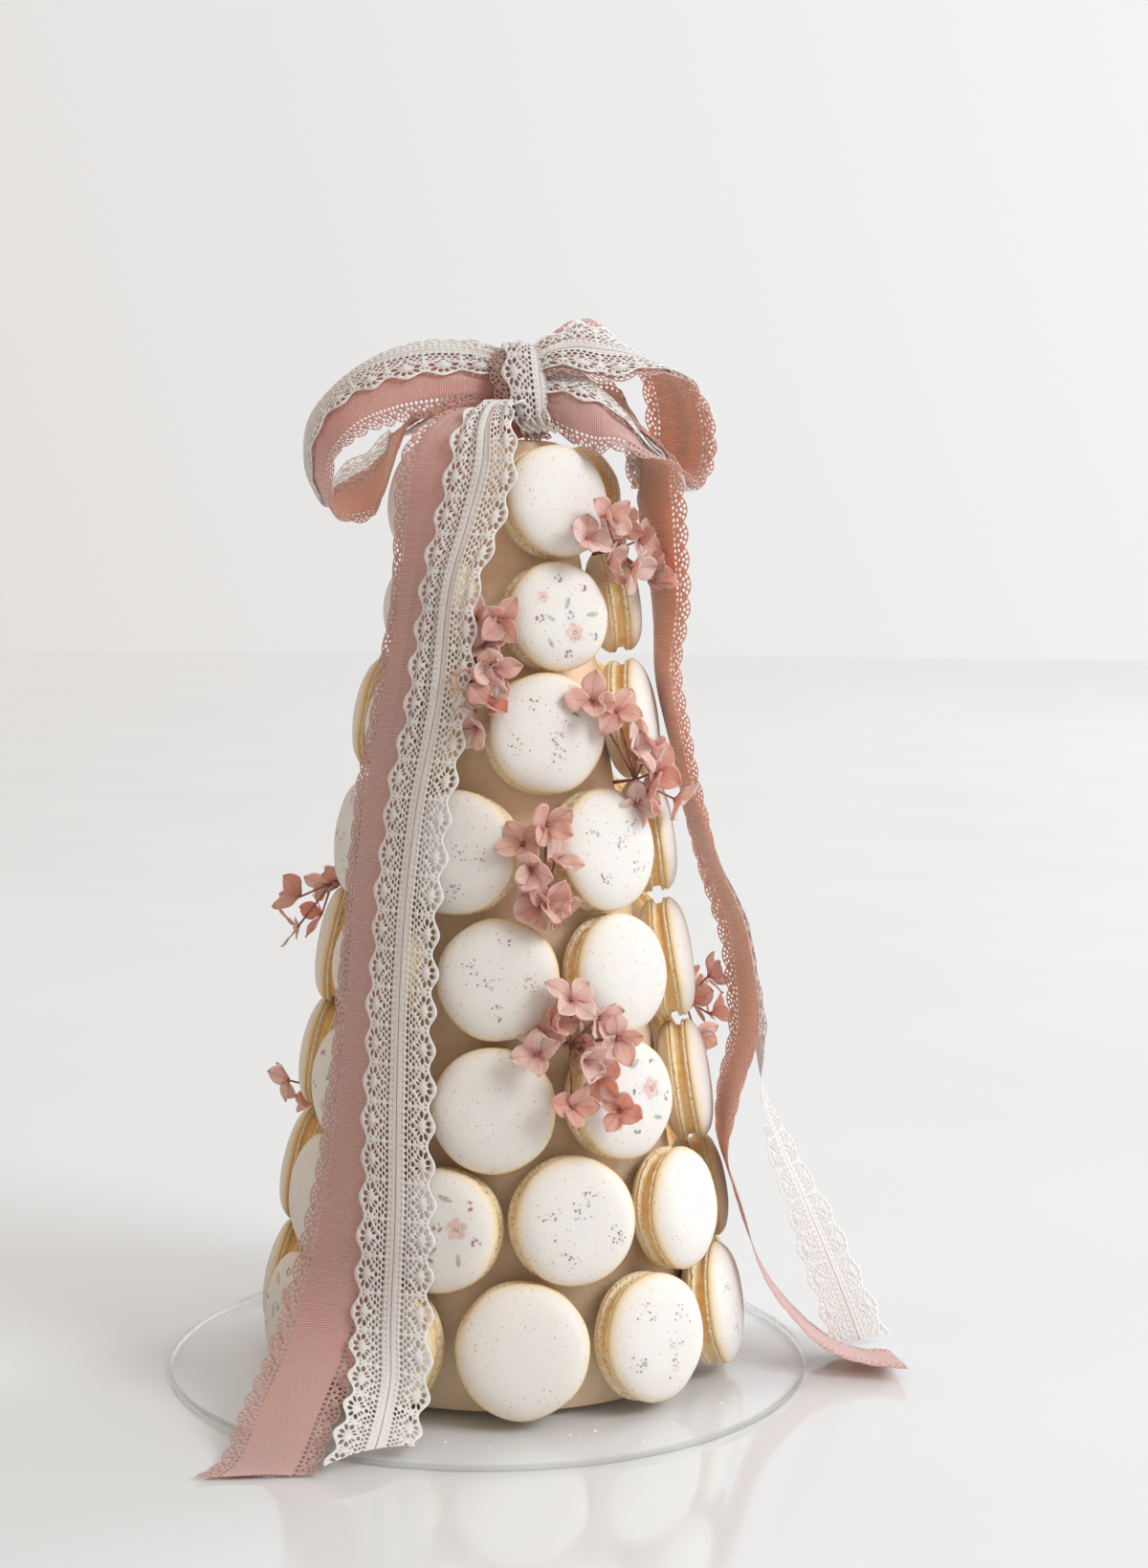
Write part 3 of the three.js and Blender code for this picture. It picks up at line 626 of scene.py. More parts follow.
for place_name, (root, florets) in SPRIGS.items():
    chance = random.Random(root[0] * 1000 + root[1])
    bm = bmesh.new()
    veins_at = bm.loops.layers.uv.new("petal")
    tones = bm.verts.layers.float.new("tone")
    fork = tower_frame(root[0], root[1] * MM, MACARON_HALF - FORK_DEPTH).translation
    stem_foot = tower_frame(root[0], root[1] * MM, MACARON_HALF - STEM_DEPTH).translation
    add_stalk(bm, stem_foot, fork, 1.5 * STALK_RADIUS)
    heads = [(*floret, FLORET_LEAN) for floret in florets]
    heads += [(root[0] + chance.uniform(-7, 7), root[1] + chance.uniform(-9, 9), chance.uniform(-6, 0),
               INNER_LEAN) for _ in range(INNER_FLORETS)]
    for i, (angle, height, stands_off, lean) in enumerate(heads):
        floret = tower_frame(angle, height * MM, MACARON_HALF + stands_off * MM)
        floret = floret @ Matrix.Rotation(lean * sin(5 * i + root[1]), 4, "X")
        floret = floret @ Matrix.Rotation(lean * cos(3 * i + root[0]), 4, "Z")
        floret = floret @ Matrix.Rotation(FLORET_TURN * i, 4, "Y")
        add_stalk(bm, fork, floret.translation, STALK_RADIUS)
        tone = chance.uniform(0.0, 0.75)
        for petal in range(4):
            around = pi / 4 + petal * pi / 2 + chance.uniform(-0.2, 0.2)
            lay = floret @ Matrix.Translation((0, -PETAL_LAP * (petal % 2), 0))
            add_petal(bm, chance, lay, around, tones, veins_at, tone + chance.uniform(-0.1, 0.1))
        eye = Matrix.Translation(floret @ Vector((0, -EYE_LIFT, 0)))
        made = bmesh.ops.create_icosphere(bm, subdivisions=2, radius=EYE_RADIUS, matrix=eye)
        paint(made["verts"], STALK)
    name = f"dried_hydrangea_{place_name}"
    sprig = add_piece(name, to_mesh(name, bm), sprig_finishes, "dried_petal", f"hydrangea_{place_name}")
    thicken(sprig, PETAL_THICKNESS)


# Rose ribbon: a dusty-pink woven ribbon with a ribbed middle and scalloped eyelet borders. It is tied in a
# bow on top of the cone: two loops, a knot, and two long tails that hang down to the table.
ROSE_MIDDLE = 3.5
ROSE_KNOT_MIDDLE = 5.5
ROSE_BAND = 10.5
ROSE_LENGTHWISE = 8
ROSE_CROSSWISE = 8
SCALLOP = 9
SCALLOP_PEAK = 18.6
SCALLOP_VALLEY = 16.5
# Eyelets on one half of a scallop or on its middle line: across from the ribbon's middle, along from the
# scallop's middle, and their half sizes.
EYELETS = [
    (11.5, 1.125, 0.66, 0.7), (11.5, 3.375, 0.66, 0.7), (13.4, 0, 0.56, 0.62), (13.5, 3.5, 0.62, 0.66),
    (15.63, 0, 0.75, 0.7), (14.9, 1.94, 0.74, 0.68), (17.3, 0.97, 0.8, 0.74), (16.46, 2.81, 0.78, 0.74),
]
HOLE_SIDES = 9
WELD = 0.02
ROSE_THICKNESS = 0.32 * MM
ROSE_FLUTTER = 0.3
FLUTTER_PITCH = 41
FLUTTER_SLANT = 0.05
FLUTTER_FULL_AT = 16
FLAT_RADIUS = 500
PLEAT_PITCH = 6.5
PLEAT_DEPTH = PLEAT_PITCH / 6
UNPLEATED = 0.92
GATHERED_LIFT = 2
DIP_FROM = 85
DIP_RUN = 35
DIP_WIDTH = 12
FINE_STEP = 0.5 * MM
# Pitches of the threads, in the centimetres of the weave's map.
MAP_UNIT = 10
RIB_PITCH = 0.085
KNIT_PITCH = 0.05
# Routes of both ribbons: points on the line of the lace's inner edge in millimetres, each with the direction
# across towards the rose ribbon's side and the share of the width left where the ribbons are gathered. Then
# come how far the lace has slid across, and the radius that the pair is rounded to across. A radius below 0
# bends the edges the other way.
LEFT_LOOP = [
    (8, 0, 379, 0, -0.2, -1, 0.4),
    (-18, 9, 372, 0.1, -0.7, -0.5, 0.5),
    (-32, 12, 369, 0.1, -0.95, 0.1, 0.65),
    (-40, 14, 361, 0.2, -0.95, -0.2, 0.85),
    (-43, 14, 350, 0.05, -0.82, -0.57, 0.95),
    (-49, 13, 342, 0.1, -0.8, -0.6, 0.95),
    (-59, 11, 338, 0.15, -0.85, -0.45, 0.95),
    (-65, 8, 336, 0.2, -0.93, -0.25, 0.95),
    (-68, 4, 342, 0.25, -0.95, -0.05, 0.95, 0, 100),
    (-69, -1, 352, 0.35, -0.92, 0, 0.95, 1, 80),
    (-66, -6, 362, 0.45, -0.84, -0.2, 0.95, 2, 55),
    (-56, -10, 375, 0.4, -0.75, -0.45, 0.95, 4, 32),
    (-42, -13, 383, 0.25, -0.62, -0.73, 0.92, 6, 23),
    (-24, -13, 386.5, 0.12, -0.5, -0.85, 0.86, 6, 20),
    (-8, -10, 386, 0.1, -0.4, -0.9, 0.66, 4, 20),
    (8, -6, 381.5, 0, 0, -1, 0.4, 0, 20),
]
RIGHT_LOOP = [
    (10, 0, 379, 0, 0.2, 1, 0.4, 18),
    (30, 6, 376, -0.1, 0.7, 0.7, 0.55, 18),
    (49, 8, 374, -0.1, 0.8, 0.58, 0.7, 18),
    (59, 6, 362, -0.5, 0.8, 0.3, 0.8, 18),
    (64, 6, 350, -0.7, 0.7, 0.1, 0.9, 18),
    (69, 10, 343, -0.75, 0.65, 0, 0.95, 18),
    (73, 14, 349, -0.75, 0.65, 0.05, 0.95, 18),
    (75, 15, 363, -0.75, 0.65, 0.1, 0.95, 18),
    (73, 13, 376, -0.7, 0.68, 0.15, 0.95, 18),
    (68, 9, 385, -0.6, 0.75, 0.2, 0.95, 18),
    (61, 3, 389, -0.45, 0.8, 0.3, 0.9, 18),
    (52, -2, 391, -0.3, 0.8, 0.5, 0.9, 18),
    (41, -6, 392, -0.15, 0.62, 0.77, 0.9, 18),
    (30, -8, 393, -0.1, 0.6, 0.78, 0.75, 18),
    (21, -10, 391, 0, 0.5, 0.86, 0.5, 18),
    (10, -8, 383, 0, 0, 1, 0.4, 18),
]
LEFT_TAIL = [
    (6, -8, 369, -1, 0.1, 0, 0.4),
    (-6, -24, 370, -0.95, 0.3, 0, 0.5),
    (-13, -36, 362, -0.95, 0.3, 0, 0.75),
    (-16, -41, 349, -0.95, 0.3, 0, 0.9),
    (-20, -42, 331, -0.9, 0.42, 0, 0.9, 0, 65),
    (-24, -41, 309, -0.8, 0.6, 0, 0.85, 0, 65),
    (-30, -44, 264, -0.83, 0.55, 0, 0.87, 0, 65),
    (-38, -45, 220, -0.77, 0.64, 0, 0.95, 0, 65),
    (-42, -52, 172, -0.76, 0.65, 0, 0.95, 0, 65),
    (-44, -61, 125, -0.82, 0.57, 0, 0.95, 0, 65),
]
LEFT_TAIL_ROSE_END = [
    (-48, -68.5, 78, -0.88, 0.48, 0, 0.97, 0, 80),
    (-56, -78, 32, -0.97, 0.25, 0, 1, 0, 120),
    (-63.5, -101, 15, -0.93, 0.37, 0, 1),
    (-70.5, -131, 1.8, -0.91, 0.42, 0, 1),
    (-77, -147, 1.4, -0.9, 0.44, 0, 1),
]
LEFT_TAIL_LACE_END = [
    (-45, -70, 78, -0.88, 0.48, 0, 0.97, 0, 80),
    (-48, -80, 32, -0.97, 0.25, 0, 1, 0, 120),
    (-48, -104, 19, -0.85, -0.2, 0.38, 1),
    (-51, -124, 9, -0.93, 0, 0.22, 1),
    (-53, -141, 2.4, -0.98, 0.1, 0.06, 1),
]
RIGHT_TAIL = [
    (10, -5, 379, 0, 0, -1, 0.4),
    (19, -10, 377, 0.05, -0.4, -0.9, 0.62, 0, 35),
    (28, -17, 375, 0.1, -0.6, -0.8, 0.92, 0, 35),
    (38, -20, 373, 0.1, -0.65, -0.75, 1, 2, 35),
    (47, -18, 368, 0.1, -0.8, -0.55, 0.85, 4, 40),
    (55, -13, 360, 0.2, -0.9, -0.3, 0.9, 10, 80),
    (60.5, -6, 351, 0.35, -0.92, 0, 0.95, 14, -150),
    (60, 1, 339, 0.4, -0.9, 0.1, 1, 14, -60),
    (61, 5, 324, 0.4, -0.9, 0.05, 1, 14, -45),
    (63.5, 6, 305, 0.32, -0.94, 0, 1, 14, -42),
    (63.7, 7, 272, 0.17, -0.98, 0, 1, 14, -42),
    (71.7, 8, 235, 0.12, -0.99, 0, 1, 14, -46),
    (82, 8, 205, 0.24, -0.97, 0, 1, 14, 200),
    (94.5, 8, 177, 0.36, -0.93, 0, 1, 15, 45),
]
RIGHT_TAIL_ROSE_END = [
    (100, 6, 152, 0.36, -0.93, 0, 1, 0, 45),
    (99.5, 4, 129, 0.28, -0.96, 0, 1, 0, 80),
    (93, 3, 106, 0.16, -0.98, 0, 1),
    (91, 3, 87, 0.08, -1, 0, 1),
    (97, 3, 68, 0.04, -1, 0, 1),
    (104, 2, 45, 0.04, -1, 0, 1),
    (114, 1, 27, 0.04, -1, 0, 1),
    (131, -2, 10, 0.03, -0.99, 0.08, 1),
    (146, -5, 4, 0.05, -0.99, 0.12, 1),
    (161, -8, 3.2, 0.1, -0.98, 0.12, 1),
]
RIGHT_TAIL_LACE_END = [
    (103, 9, 136, 0.2, -0.97, 0, 1, 15),
    (108, 11, 97, -0.2, -0.97, 0, 1, 15),
    (121, 13, 66, -0.5, -0.85, 0, 1, 15),
    (133, 14, 38, -0.7, -0.7, 0, 1, 15),
    (142, 14, 16, -0.8, -0.6, 0, 1, 15),
    (147, 14, 3, -0.85, -0.5, 0, 1, 15),
]
KNOT = (9.5, -5, 378.6)
KNOT_HALF = (13, 17)
# The knot's turn as angles round it, each with a shift sideways, the share of the width left and the radius
# that its edges are folded back to.
KNOT_TURN = [(-80, 6, 0.35, 3), (-58, 4.5, 0.5, 4.5), (-32, 3, 0.8, 7.5), (-8, 2, 0.93, 9),
             (16, 1, 0.97, 9.5), (42, 0.3, 0.95, 9.5), (68, 0, 0.9, 9.5), (95, 0, 0.85, 9.5),
             (130, 0, 0.8, 9), (165, 0, 0.8, 9), (200, 0, 0.8, 9)]
# The tucked ends of the rose ribbon and of the lace, under the knot and down onto the tip of the cone.
TUCK = [(9, -1, 384, -1, 0, 0, 0.7), (9, -3, 378, -1, 0, 0, 0.72), (8, -6, 370, -1, 0, 0, 0.76),
        (7, -8, 364, -1, 0, 0, 0.8), (7, -13, 360.5, -1, 0, 0, 0.8)]
TUCK_LACE = [(12, -4, 377, -1, 0.2, 0, 0.5), (13, -9, 371, -1, 0.2, 0, 0.5), (15, -15, 365, -1, 0.3, 0, 0.5),
             (17, -20, 361.5, -1, 0.3, 0, 0.5), (19, -25, 360, -1, 0.3, 0, 0.5)]
# Where scissors cut the left tail's ends: a normal and an offset, towards the side that is kept.
LEFT_ROSE_CUT = ((-0.1, 0.995, 0), -124.8)
LEFT_LACE_CUT = ((-0.617, 0.786, 0), -74.8)

# The knot's turn runs from below its front over the top and down its back.
knot_rows = []
for around, shift, width, fold in KNOT_TURN:
    y = KNOT[1] - KNOT_HALF[0] * cos(radians(around))
    z = KNOT[2] + KNOT_HALF[1] * sin(radians(around))
    knot_rows.append((KNOT[0] + shift, y, z, 1, 0, 0, width, 0, fold))


def smooth_route(rows):
    """A ribbon's line drawn smoothly through its rows, with its frame every half millimetre."""
    full = np.array([list(row) + [0, FLAT_RADIUS][len(row) - 7:] for row in rows], float)
    full[:, 8] = 1 / full[:, 8]
    full[:, :3] *= MM
    steps = np.linalg.norm(np.diff(full[:, :3], axis=0), axis=1)
    knots = np.concatenate([[0], np.cumsum(steps)])
    slopes = np.gradient(full, knots, axis=0)
    fine = np.arange(0, knots[-1], FINE_STEP)
    at = np.clip(np.searchsorted(knots, fine, "right") - 1, 0, len(rows) - 2)
    gap = steps[at][:, None]
    share = (fine[:, None] - knots[at][:, None]) / gap
    square, cube = share**2, share**3
    drawn = (2 * cube - 3 * square + 1) * full[at] + (cube - 2 * square + share) * gap * slopes[at]
    drawn += (3 * square - 2 * cube) * full[at + 1] + (cube - square) * gap * slopes[at + 1]
    along = np.gradient(drawn[:, :3], axis=0)
    across = drawn[:, 3:6] / np.linalg.norm(drawn[:, 3:6], axis=1)[:, None]
    out = np.cross(across, along)
    out /= np.linalg.norm(out, axis=1)[:, None]
    run = np.linalg.norm(np.diff(drawn[:, :3], axis=0), axis=1)
    return np.concatenate([[0], np.cumsum(run)]), np.hstack([drawn[:, :3], across, out, drawn[:, 6:9]])


def lay_along(route, side, length, middle, lift, flutter, loose, dip):
    """Points of a flat ribbon, across and along in millimetres, laid on a route. The lace alone is lifted."""
    run, rows = route
    at = [np.interp(length * MM, run, column) for column in rows.T]
    line, across, out = (np.stack(at[i:i + 3], 1) for i in (0, 3, 6))
    gathered, slide, bend = at[9:]
    shift = gathered * (side + middle + (slide if lift else 0))
    bend = np.where(shift < 0, bend * loose, bend)
    turn = shift * bend
    spare = np.sqrt(np.maximum(0, 1 - (gathered / UNPLEATED) ** 2))
    pleat = PLEAT_DEPTH * spare * np.cos(tau * (side + middle) / PLEAT_PITCH)
    rise = (lift + pleat + flutter) * MM
    rise = rise + (np.cos(turn) - 1) / bend * MM
    if lift:
        rise = rise + GATHERED_LIFT * MM * (1 - gathered)
    near_end = np.clip((length - length.max() + DIP_FROM) / DIP_RUN, 0, 1)
    rise = rise - dip * MM * near_end * np.clip(-shift / DIP_WIDTH, 0, 1)
    return line + across * (np.sin(turn) / bend * MM)[:, None] + out * rise[:, None]


def trim(bm, place, normal, near):
    """Cuts away what lies behind a plane."""
    bmesh.ops.bisect_plane(bm, geom=[*bm.verts, *bm.edges, *bm.faces], dist=near, plane_co=place,
                           plane_no=normal, clear_inner=True)


def run_of_tiles(tile, pitch, length):
    """A flat length of ribbon: repeats of a tile side by side, welded, and cut straight at both ends."""
    bm = bmesh.new()
    for i in range(-1, ceil(length / pitch) + 1):
        repeat = tile.copy()
        repeat.transform(Matrix.Translation((0, i * pitch, 0)))
        bm.from_mesh(repeat)
        bpy.data.meshes.remove(repeat)
    bmesh.ops.remove_doubles(bm, verts=bm.verts, dist=WELD)
    for cut, keep in ((0, 1), (length, -1)):
        trim(bm, (0, cut, 0), (0, keep, 0), 1e-4)
    bmesh.ops.reverse_faces(bm, faces=[face for face in bm.faces if face.normal.z < 0])
    return bm


def add_ribbon(name, tile, pitch, strand_of, lift, flutter, finishes, slot, thickness):
    """A strand of ribbon along a route, with its weave kept in a map of its own in centimetres."""
    rows, middle, cut, loose, dip = strand_of
    route = smooth_route(rows)
    length = route[0][-1] / MM
    mesh = to_mesh(name, run_of_tiles(tile, pitch, length))
    cloth = sum(face.area for face in mesh.polygons) * MM * MM
    side, down, _ = spots_of(mesh)
    corners = np.empty(len(mesh.loops), np.int64)
    mesh.loops.foreach_get("vertex_index", corners)
    weave = mesh.uv_layers.new(name="weave")
    weave.data.foreach_set("uv", (np.stack([side, down], 1)[corners] / MAP_UNIT).astype(np.float32).ravel())
    wave = flutter * np.sin(tau * down / FLUTTER_PITCH + FLUTTER_SLANT * side)
    wave = wave * np.abs(side) / FLUTTER_FULL_AT
    move_spots(mesh, lay_along(route, side, down, middle, lift, wave, loose, dip))
    if cut:
        bm = bmesh.new()
        bm.from_mesh(mesh)
        normal = Vector(cut[0]).normalized()
        trim(bm, normal * cut[1] * MM, normal, 1e-7)
        bm.to_mesh(mesh)
        bm.free()
        mesh.update()
    strand = add_piece(name, mesh, finishes, slot, slot)
    # The rose ribbon's inner side takes the back finish, with its painted glow of light through the cloth.
    thicken(strand, thickness).material_offset = 1 if slot == "rose_ribbon" else 0
    return strand, length * MM, cloth


def rose_cloth(name, dark, light, cloud):
    """The rose ribbon's weave: crosswise ribs in the middle band and a plain close weave in the borders."""
    material, shader, place = new_finish(name, {
        **lit_through(0.75, (1.0, 0.62, 0.5), 1.2 * MM),
        "Roughness": 0.6, "Sheen Weight": 0.45, "Sheen Roughness": 0.4,
    })
    side, down = map_axes(place.id_data, "weave")
    rib = ripple(down, tau / RIB_PITCH)
    on_band = spread(calc("ABSOLUTE", side), 1.02, 1.06, 1.0, 0.0)
    knit = ripple(calc("ADD", down, side), tau / KNIT_PITCH)
    threads = blended(on_band, times(knit, 0.5), rib)
    yarn = grain(place, 1500, 3)
    shade = spread(threads, -1, 1)
    # The weave is darker in the grooves between its threads and ribs and lighter on their crowns: painted
    # shade and highlight.
    cloth = blended(shade, dark, light)
    cloudy = spread(grain(place, 30, 3), 0.3, 0.7)
    cloth = blended(cloudy, cloth, cloud, 0.35)
    wire(cloth, shader, "Base Color")
    height = calc("ADD", shade, times(yarn, 0.3))
    wire(relief(height, 0.22 * MM), shader, "Normal")
    return material


rose_front = rose_cloth("rose_weave_front", tint(192, 143, 136), tint(226, 188, 182), tint(214, 170, 166))
# The back finish is warmer and lighter than the front: a painted glow of light coming through the cloth from
# behind.
rose_back_backlit = rose_cloth("rose_weave_back_backlit", tint(218, 158, 138), tint(243, 202, 185), tint(232, 180, 162))


def hole(across, down, wide, long, turn=0.0):
    """The ring of points round a hole."""
    ring = []
    for i in range(HOLE_SIDES):
        around = tau * (i + 0.5) / HOLE_SIDES
        x, y = wide * cos(around), long * sin(around)
        ring.append((across + x * cos(turn) - y * sin(turn),
                     down + x * sin(turn) + y * cos(turn)))
    return ring


def both_ways(down):
    """A hole's place along from the middle of its repeat, and its twin's where it is off the middle."""
    return (down, -down) if down else (down,)


def inside(point, ring):
    """Whether a point lies within a ring of points."""
    crossings = 0
    for (ax, ay), (bx, by) in zip(ring, ring[1:] + ring[:1]):
        if (ay > point.y) != (by > point.y) and point.x < ax + (point.y - ay) / (by - ay) * (bx - ax):
            crossings += 1
    return crossings % 2 == 1


def pierced_cloth(outline, holes, line=()):
    """Flat cloth within an outline, pierced by holes, with a line of extra points, and its mirror image."""
    spots, links = [], []
    for ring, closed in [(outline, True), *((ring, True) for ring in holes), (line, False)]:
        start = len(spots)
        spots.extend(Vector(point) for point in ring)
        links.extend((i, i + 1) for i in range(start, len(spots) - 1))
        if closed:
            links.append((len(spots) - 1, start))
    corners, _, triangles, *_ = geometry.delaunay_2d_cdt(spots, links, [], 0, 1e-6)
    cloth = bmesh.new()
    knots = [cloth.verts.new((corner.x, corner.y, 0)) for corner in corners]
    for triangle in triangles:
        middle = sum((corners[i] for i in triangle), Vector((0, 0))) / 3
        if inside(middle, outline) and not any(inside(middle, ring) for ring in holes):
            cloth.faces.new([knots[i] for i in triangle])
    bmesh.ops.delete(cloth, geom=[vert for vert in cloth.verts if not vert.link_faces], context="VERTS")
    bmesh.ops.mirror(cloth, geom=[*cloth.verts, *cloth.edges, *cloth.faces], merge_dist=0.0, axis="X")
    return cloth


def repeat_outline(edge, half, inner, inner_parts, valley, end_parts):
    """The outline of one side of a repeat: its outer edge, one end, its inner line and the other end."""
    ends = np.linspace(inner, valley, end_parts + 1)[1:-1]
    line = [(inner, step) for step in np.linspace(half, -half, inner_parts + 1)]
    return edge + [(across, half) for across in ends[::-1]] + line + [(across, -half) for across in ends]


sag = SCALLOP_PEAK - SCALLOP_VALLEY
half = SCALLOP / 2
bow = (half**2 + sag**2) / (2 * sag)
edge = [(SCALLOP_PEAK - bow + sqrt(bow**2 - step**2), step) for step in np.linspace(-half, half, 15)]
outline = repeat_outline(edge, half, ROSE_BAND, ROSE_LENGTHWISE, SCALLOP_VALLEY, 5)
rings = [hole(across, at, wide, long) for across, down, wide, long in EYELETS for at in both_ways(down)]
bm = pierced_cloth(outline, rings)
bmesh.ops.create_grid(bm, x_segments=ROSE_CROSSWISE, y_segments=ROSE_LENGTHWISE, size=0.5,
                      matrix=Matrix.Diagonal((2 * ROSE_BAND, SCALLOP, 1, 1)))
bmesh.ops.remove_doubles(bm, verts=bm.verts, dist=WELD)
rose_tile = to_mesh("rose_tile", bm)

ON_CONE = ["pressed_foam_cone"]
# Each strand: its rows, where the ribbon's middle lies, how its end is cut, how loosely it bends back under
# the lace, how far its end dips under the lace, how it is held and what it lies on.
ROSE_STRANDS = {
    "left_loop": ((LEFT_LOOP, ROSE_MIDDLE, None, 0.9, 0), "gathered", ON_CONE),
    "right_loop": ((RIGHT_LOOP, ROSE_MIDDLE, None, 1, 0), "gathered", ON_CONE),
    "left_tail": ((LEFT_TAIL + LEFT_TAIL_ROSE_END, ROSE_MIDDLE, LEFT_ROSE_CUT, 1, 2), "hung",
                  ["baked_macaron_8_a", "clear_plate"]),
    "right_tail": ((RIGHT_TAIL + RIGHT_TAIL_ROSE_END, ROSE_MIDDLE, None, 1, 0), "hung", ON_CONE),
    "knot": ((knot_rows, ROSE_KNOT_MIDDLE, None, 0.45, 0), "gathered", ON_CONE),
    "tuck": ((TUCK, 0, None, 1, 0), "gathered", ON_CONE),
}
for name, (strand_of, held, under) in ROSE_STRANDS.items():
    strand, length, cloth = add_ribbon(f"rose_ribbon_{name}", rose_tile, SCALLOP, strand_of, 0, ROSE_FLUTTER,
                                       [rose_front, rose_back_backlit], "rose_ribbon", ROSE_THICKNESS)


# Lace: an ivory knitted lace ribbon with a seam of rose thread down its middle, a close tape beside the seam,
# an open six-sided net, and wheels of spokes along both scalloped edges. It is tied in with the rose ribbon.
LACE_MIDDLE = -15.75
LACE_KNOT_MIDDLE = 7.75
LACE_WHEEL = 14.0
LACE_EDGE = 14.35
LACE_WAVE = 1.4
LACE_THICKNESS = 0.26 * MM
LACE_LIFT = 1.6
LACE_FLUTTER = 0.5
STITCH_PITCH = 0.046
SEAM_HALF = 0.2
SEAM_PARTS = 12
HUB = 10.6
TAPE_LINE = 1.2
# Holes on one side of the seam, across from the seam and along from the wheel: the net's by their half sizes
# across and along, the wheel's by their half sizes out from its hub and round it.
NET_HOLES = [
    (3.9, 1.17, 0.68, 0.85), (3.9, 3.5, 0.68, 0.85), (3.9, 5.83, 0.68, 0.85), (5.3, 2.33, 0.55, 0.85),
    (5.3, 4.67, 0.55, 0.85), (5.2, 0, 0.4, 0.8), (6.7, 0, 0.72, 1.0), (6.55, 3.5, 0.6, 0.85),
    (6.55, 5.83, 0.6, 0.85), (7.75, 4.7, 0.45, 0.62), (8.5, 5.9, 0.36, 0.42), (11.4, 6.2, 0.34, 0.34),
    (2.1, 1.17, 0.14, 0.2), (2.1, 3.5, 0.14, 0.2), (2.1, 5.83, 0.14, 0.2),
]
WHEEL_HOLES = [
    (12.9, 1.2, 1.08, 0.95), (11.95, 3.65, 1.45, 0.72), (10.1, 4.3, 1.35, 0.8), (9.05, 2.65, 1.0, 0.46),
    (8.3, 1.45, 0.9, 0.52),
]

thread, shader, place = new_finish("lace_thread", {
    **lit_through(0.5, (1.0, 0.9, 0.85), 0.8 * MM), "Roughness": 0.75, "Sheen Weight": 0.6,
})
side, down = map_axes(place.id_data, "weave")
from_seam = calc("ABSOLUTE", side)
stitch = ripple(down, tau / STITCH_PITCH)
on_tape = spread(from_seam, 0.3, 0.34, 1.0, 0.0)
twist = ripple(calc("ADD", down, side), tau / KNIT_PITCH)
strands = blended(on_tape, times(twist, 0.6), stitch)
strands = spread(strands, -1, 1)
fluff = grain(place, 1400, 3)
wave = calc("COSINE", times(down, tau / (LACE_WHEEL / MAP_UNIT)))
edge = calc("ADD", times(wave, LACE_WAVE / MAP_UNIT), LACE_EDGE / MAP_UNIT)
cord = spread(calc("SUBTRACT", edge, from_seam), 0.05, 0.075, 1.0, 0.0)
yarn = blended(strands, tint(240, 230, 223), tint(255, 251, 247))
wire(blended(cord, yarn, tint(255, 252, 249)), shader, "Base Color")
strands = calc("MAXIMUM", strands, times(cord, 1.6))
height = calc("ADD", strands, times(fluff, 0.4))
wire(relief(height, 0.16 * MM), shader, "Normal")

seam_thread = mottled_finish("rose_seam_thread", {"Roughness": 0.7, "Sheen Weight": 0.2}, (900, 3),
                             [(0.3, 146, 92, 96), (0.7, 196, 148, 148)], 0.2 * MM)
SEAM = 1

rings = [hole(across, at, wide, long) for across, down, wide, long in NET_HOLES for at in both_ways(down)]
rings += [hole(across, at, out, round_hub, atan2(at, across - HUB))
          for across, down, out, round_hub in WHEEL_HOLES for at in both_ways(down)]
half = LACE_WHEEL / 2
edge = [(LACE_EDGE + LACE_WAVE * cos(tau * step / LACE_WHEEL), step)
        for step in np.linspace(-half, half, 29)]
tape_line = [(TAPE_LINE, step) for step in np.linspace(half, -half, SEAM_PARTS + 1)[1:-1]]
outline = repeat_outline(edge, half, SEAM_HALF, SEAM_PARTS, LACE_EDGE - LACE_WAVE, 9)
bm = pierced_cloth(outline, rings, tape_line)
seam = bmesh.ops.create_grid(bm, x_segments=1, y_segments=SEAM_PARTS, size=0.5,
                             matrix=Matrix.Diagonal((2 * SEAM_HALF, LACE_WHEEL, 1, 1)))
paint(seam["verts"], SEAM)
bmesh.ops.remove_doubles(bm, verts=bm.verts, dist=WELD)
lace_tile = to_mesh("lace_tile", bm)

LACE_STRANDS = {
    "left_loop": ((LEFT_LOOP, LACE_MIDDLE, None, 0.9, 0), "gathered"),
    "right_loop": ((RIGHT_LOOP, LACE_MIDDLE, None, 1, 0), "gathered"),
    "left_tail": ((LEFT_TAIL + LEFT_TAIL_LACE_END, LACE_MIDDLE, LEFT_LACE_CUT, 1, 0), "hung"),
    "right_tail": ((RIGHT_TAIL + RIGHT_TAIL_LACE_END, LACE_MIDDLE, None, 1, 0), "hung"),
    "knot": ((knot_rows, LACE_KNOT_MIDDLE, None, 0.45, 0), "gathered"),
    "tuck": ((TUCK_LACE, 0, None, 1, 0), "gathered"),
}
for name, (strand_of, held) in LACE_STRANDS.items():
    strand, length, cloth = add_ribbon(f"lace_{name}", lace_tile, LACE_WHEEL, strand_of, LACE_LIFT,
                                       LACE_FLUTTER, [thread, seam_thread], "lace_ribbon", LACE_THICKNESS)
for tile in (rose_tile, lace_tile):
    bpy.data.meshes.remove(tile)


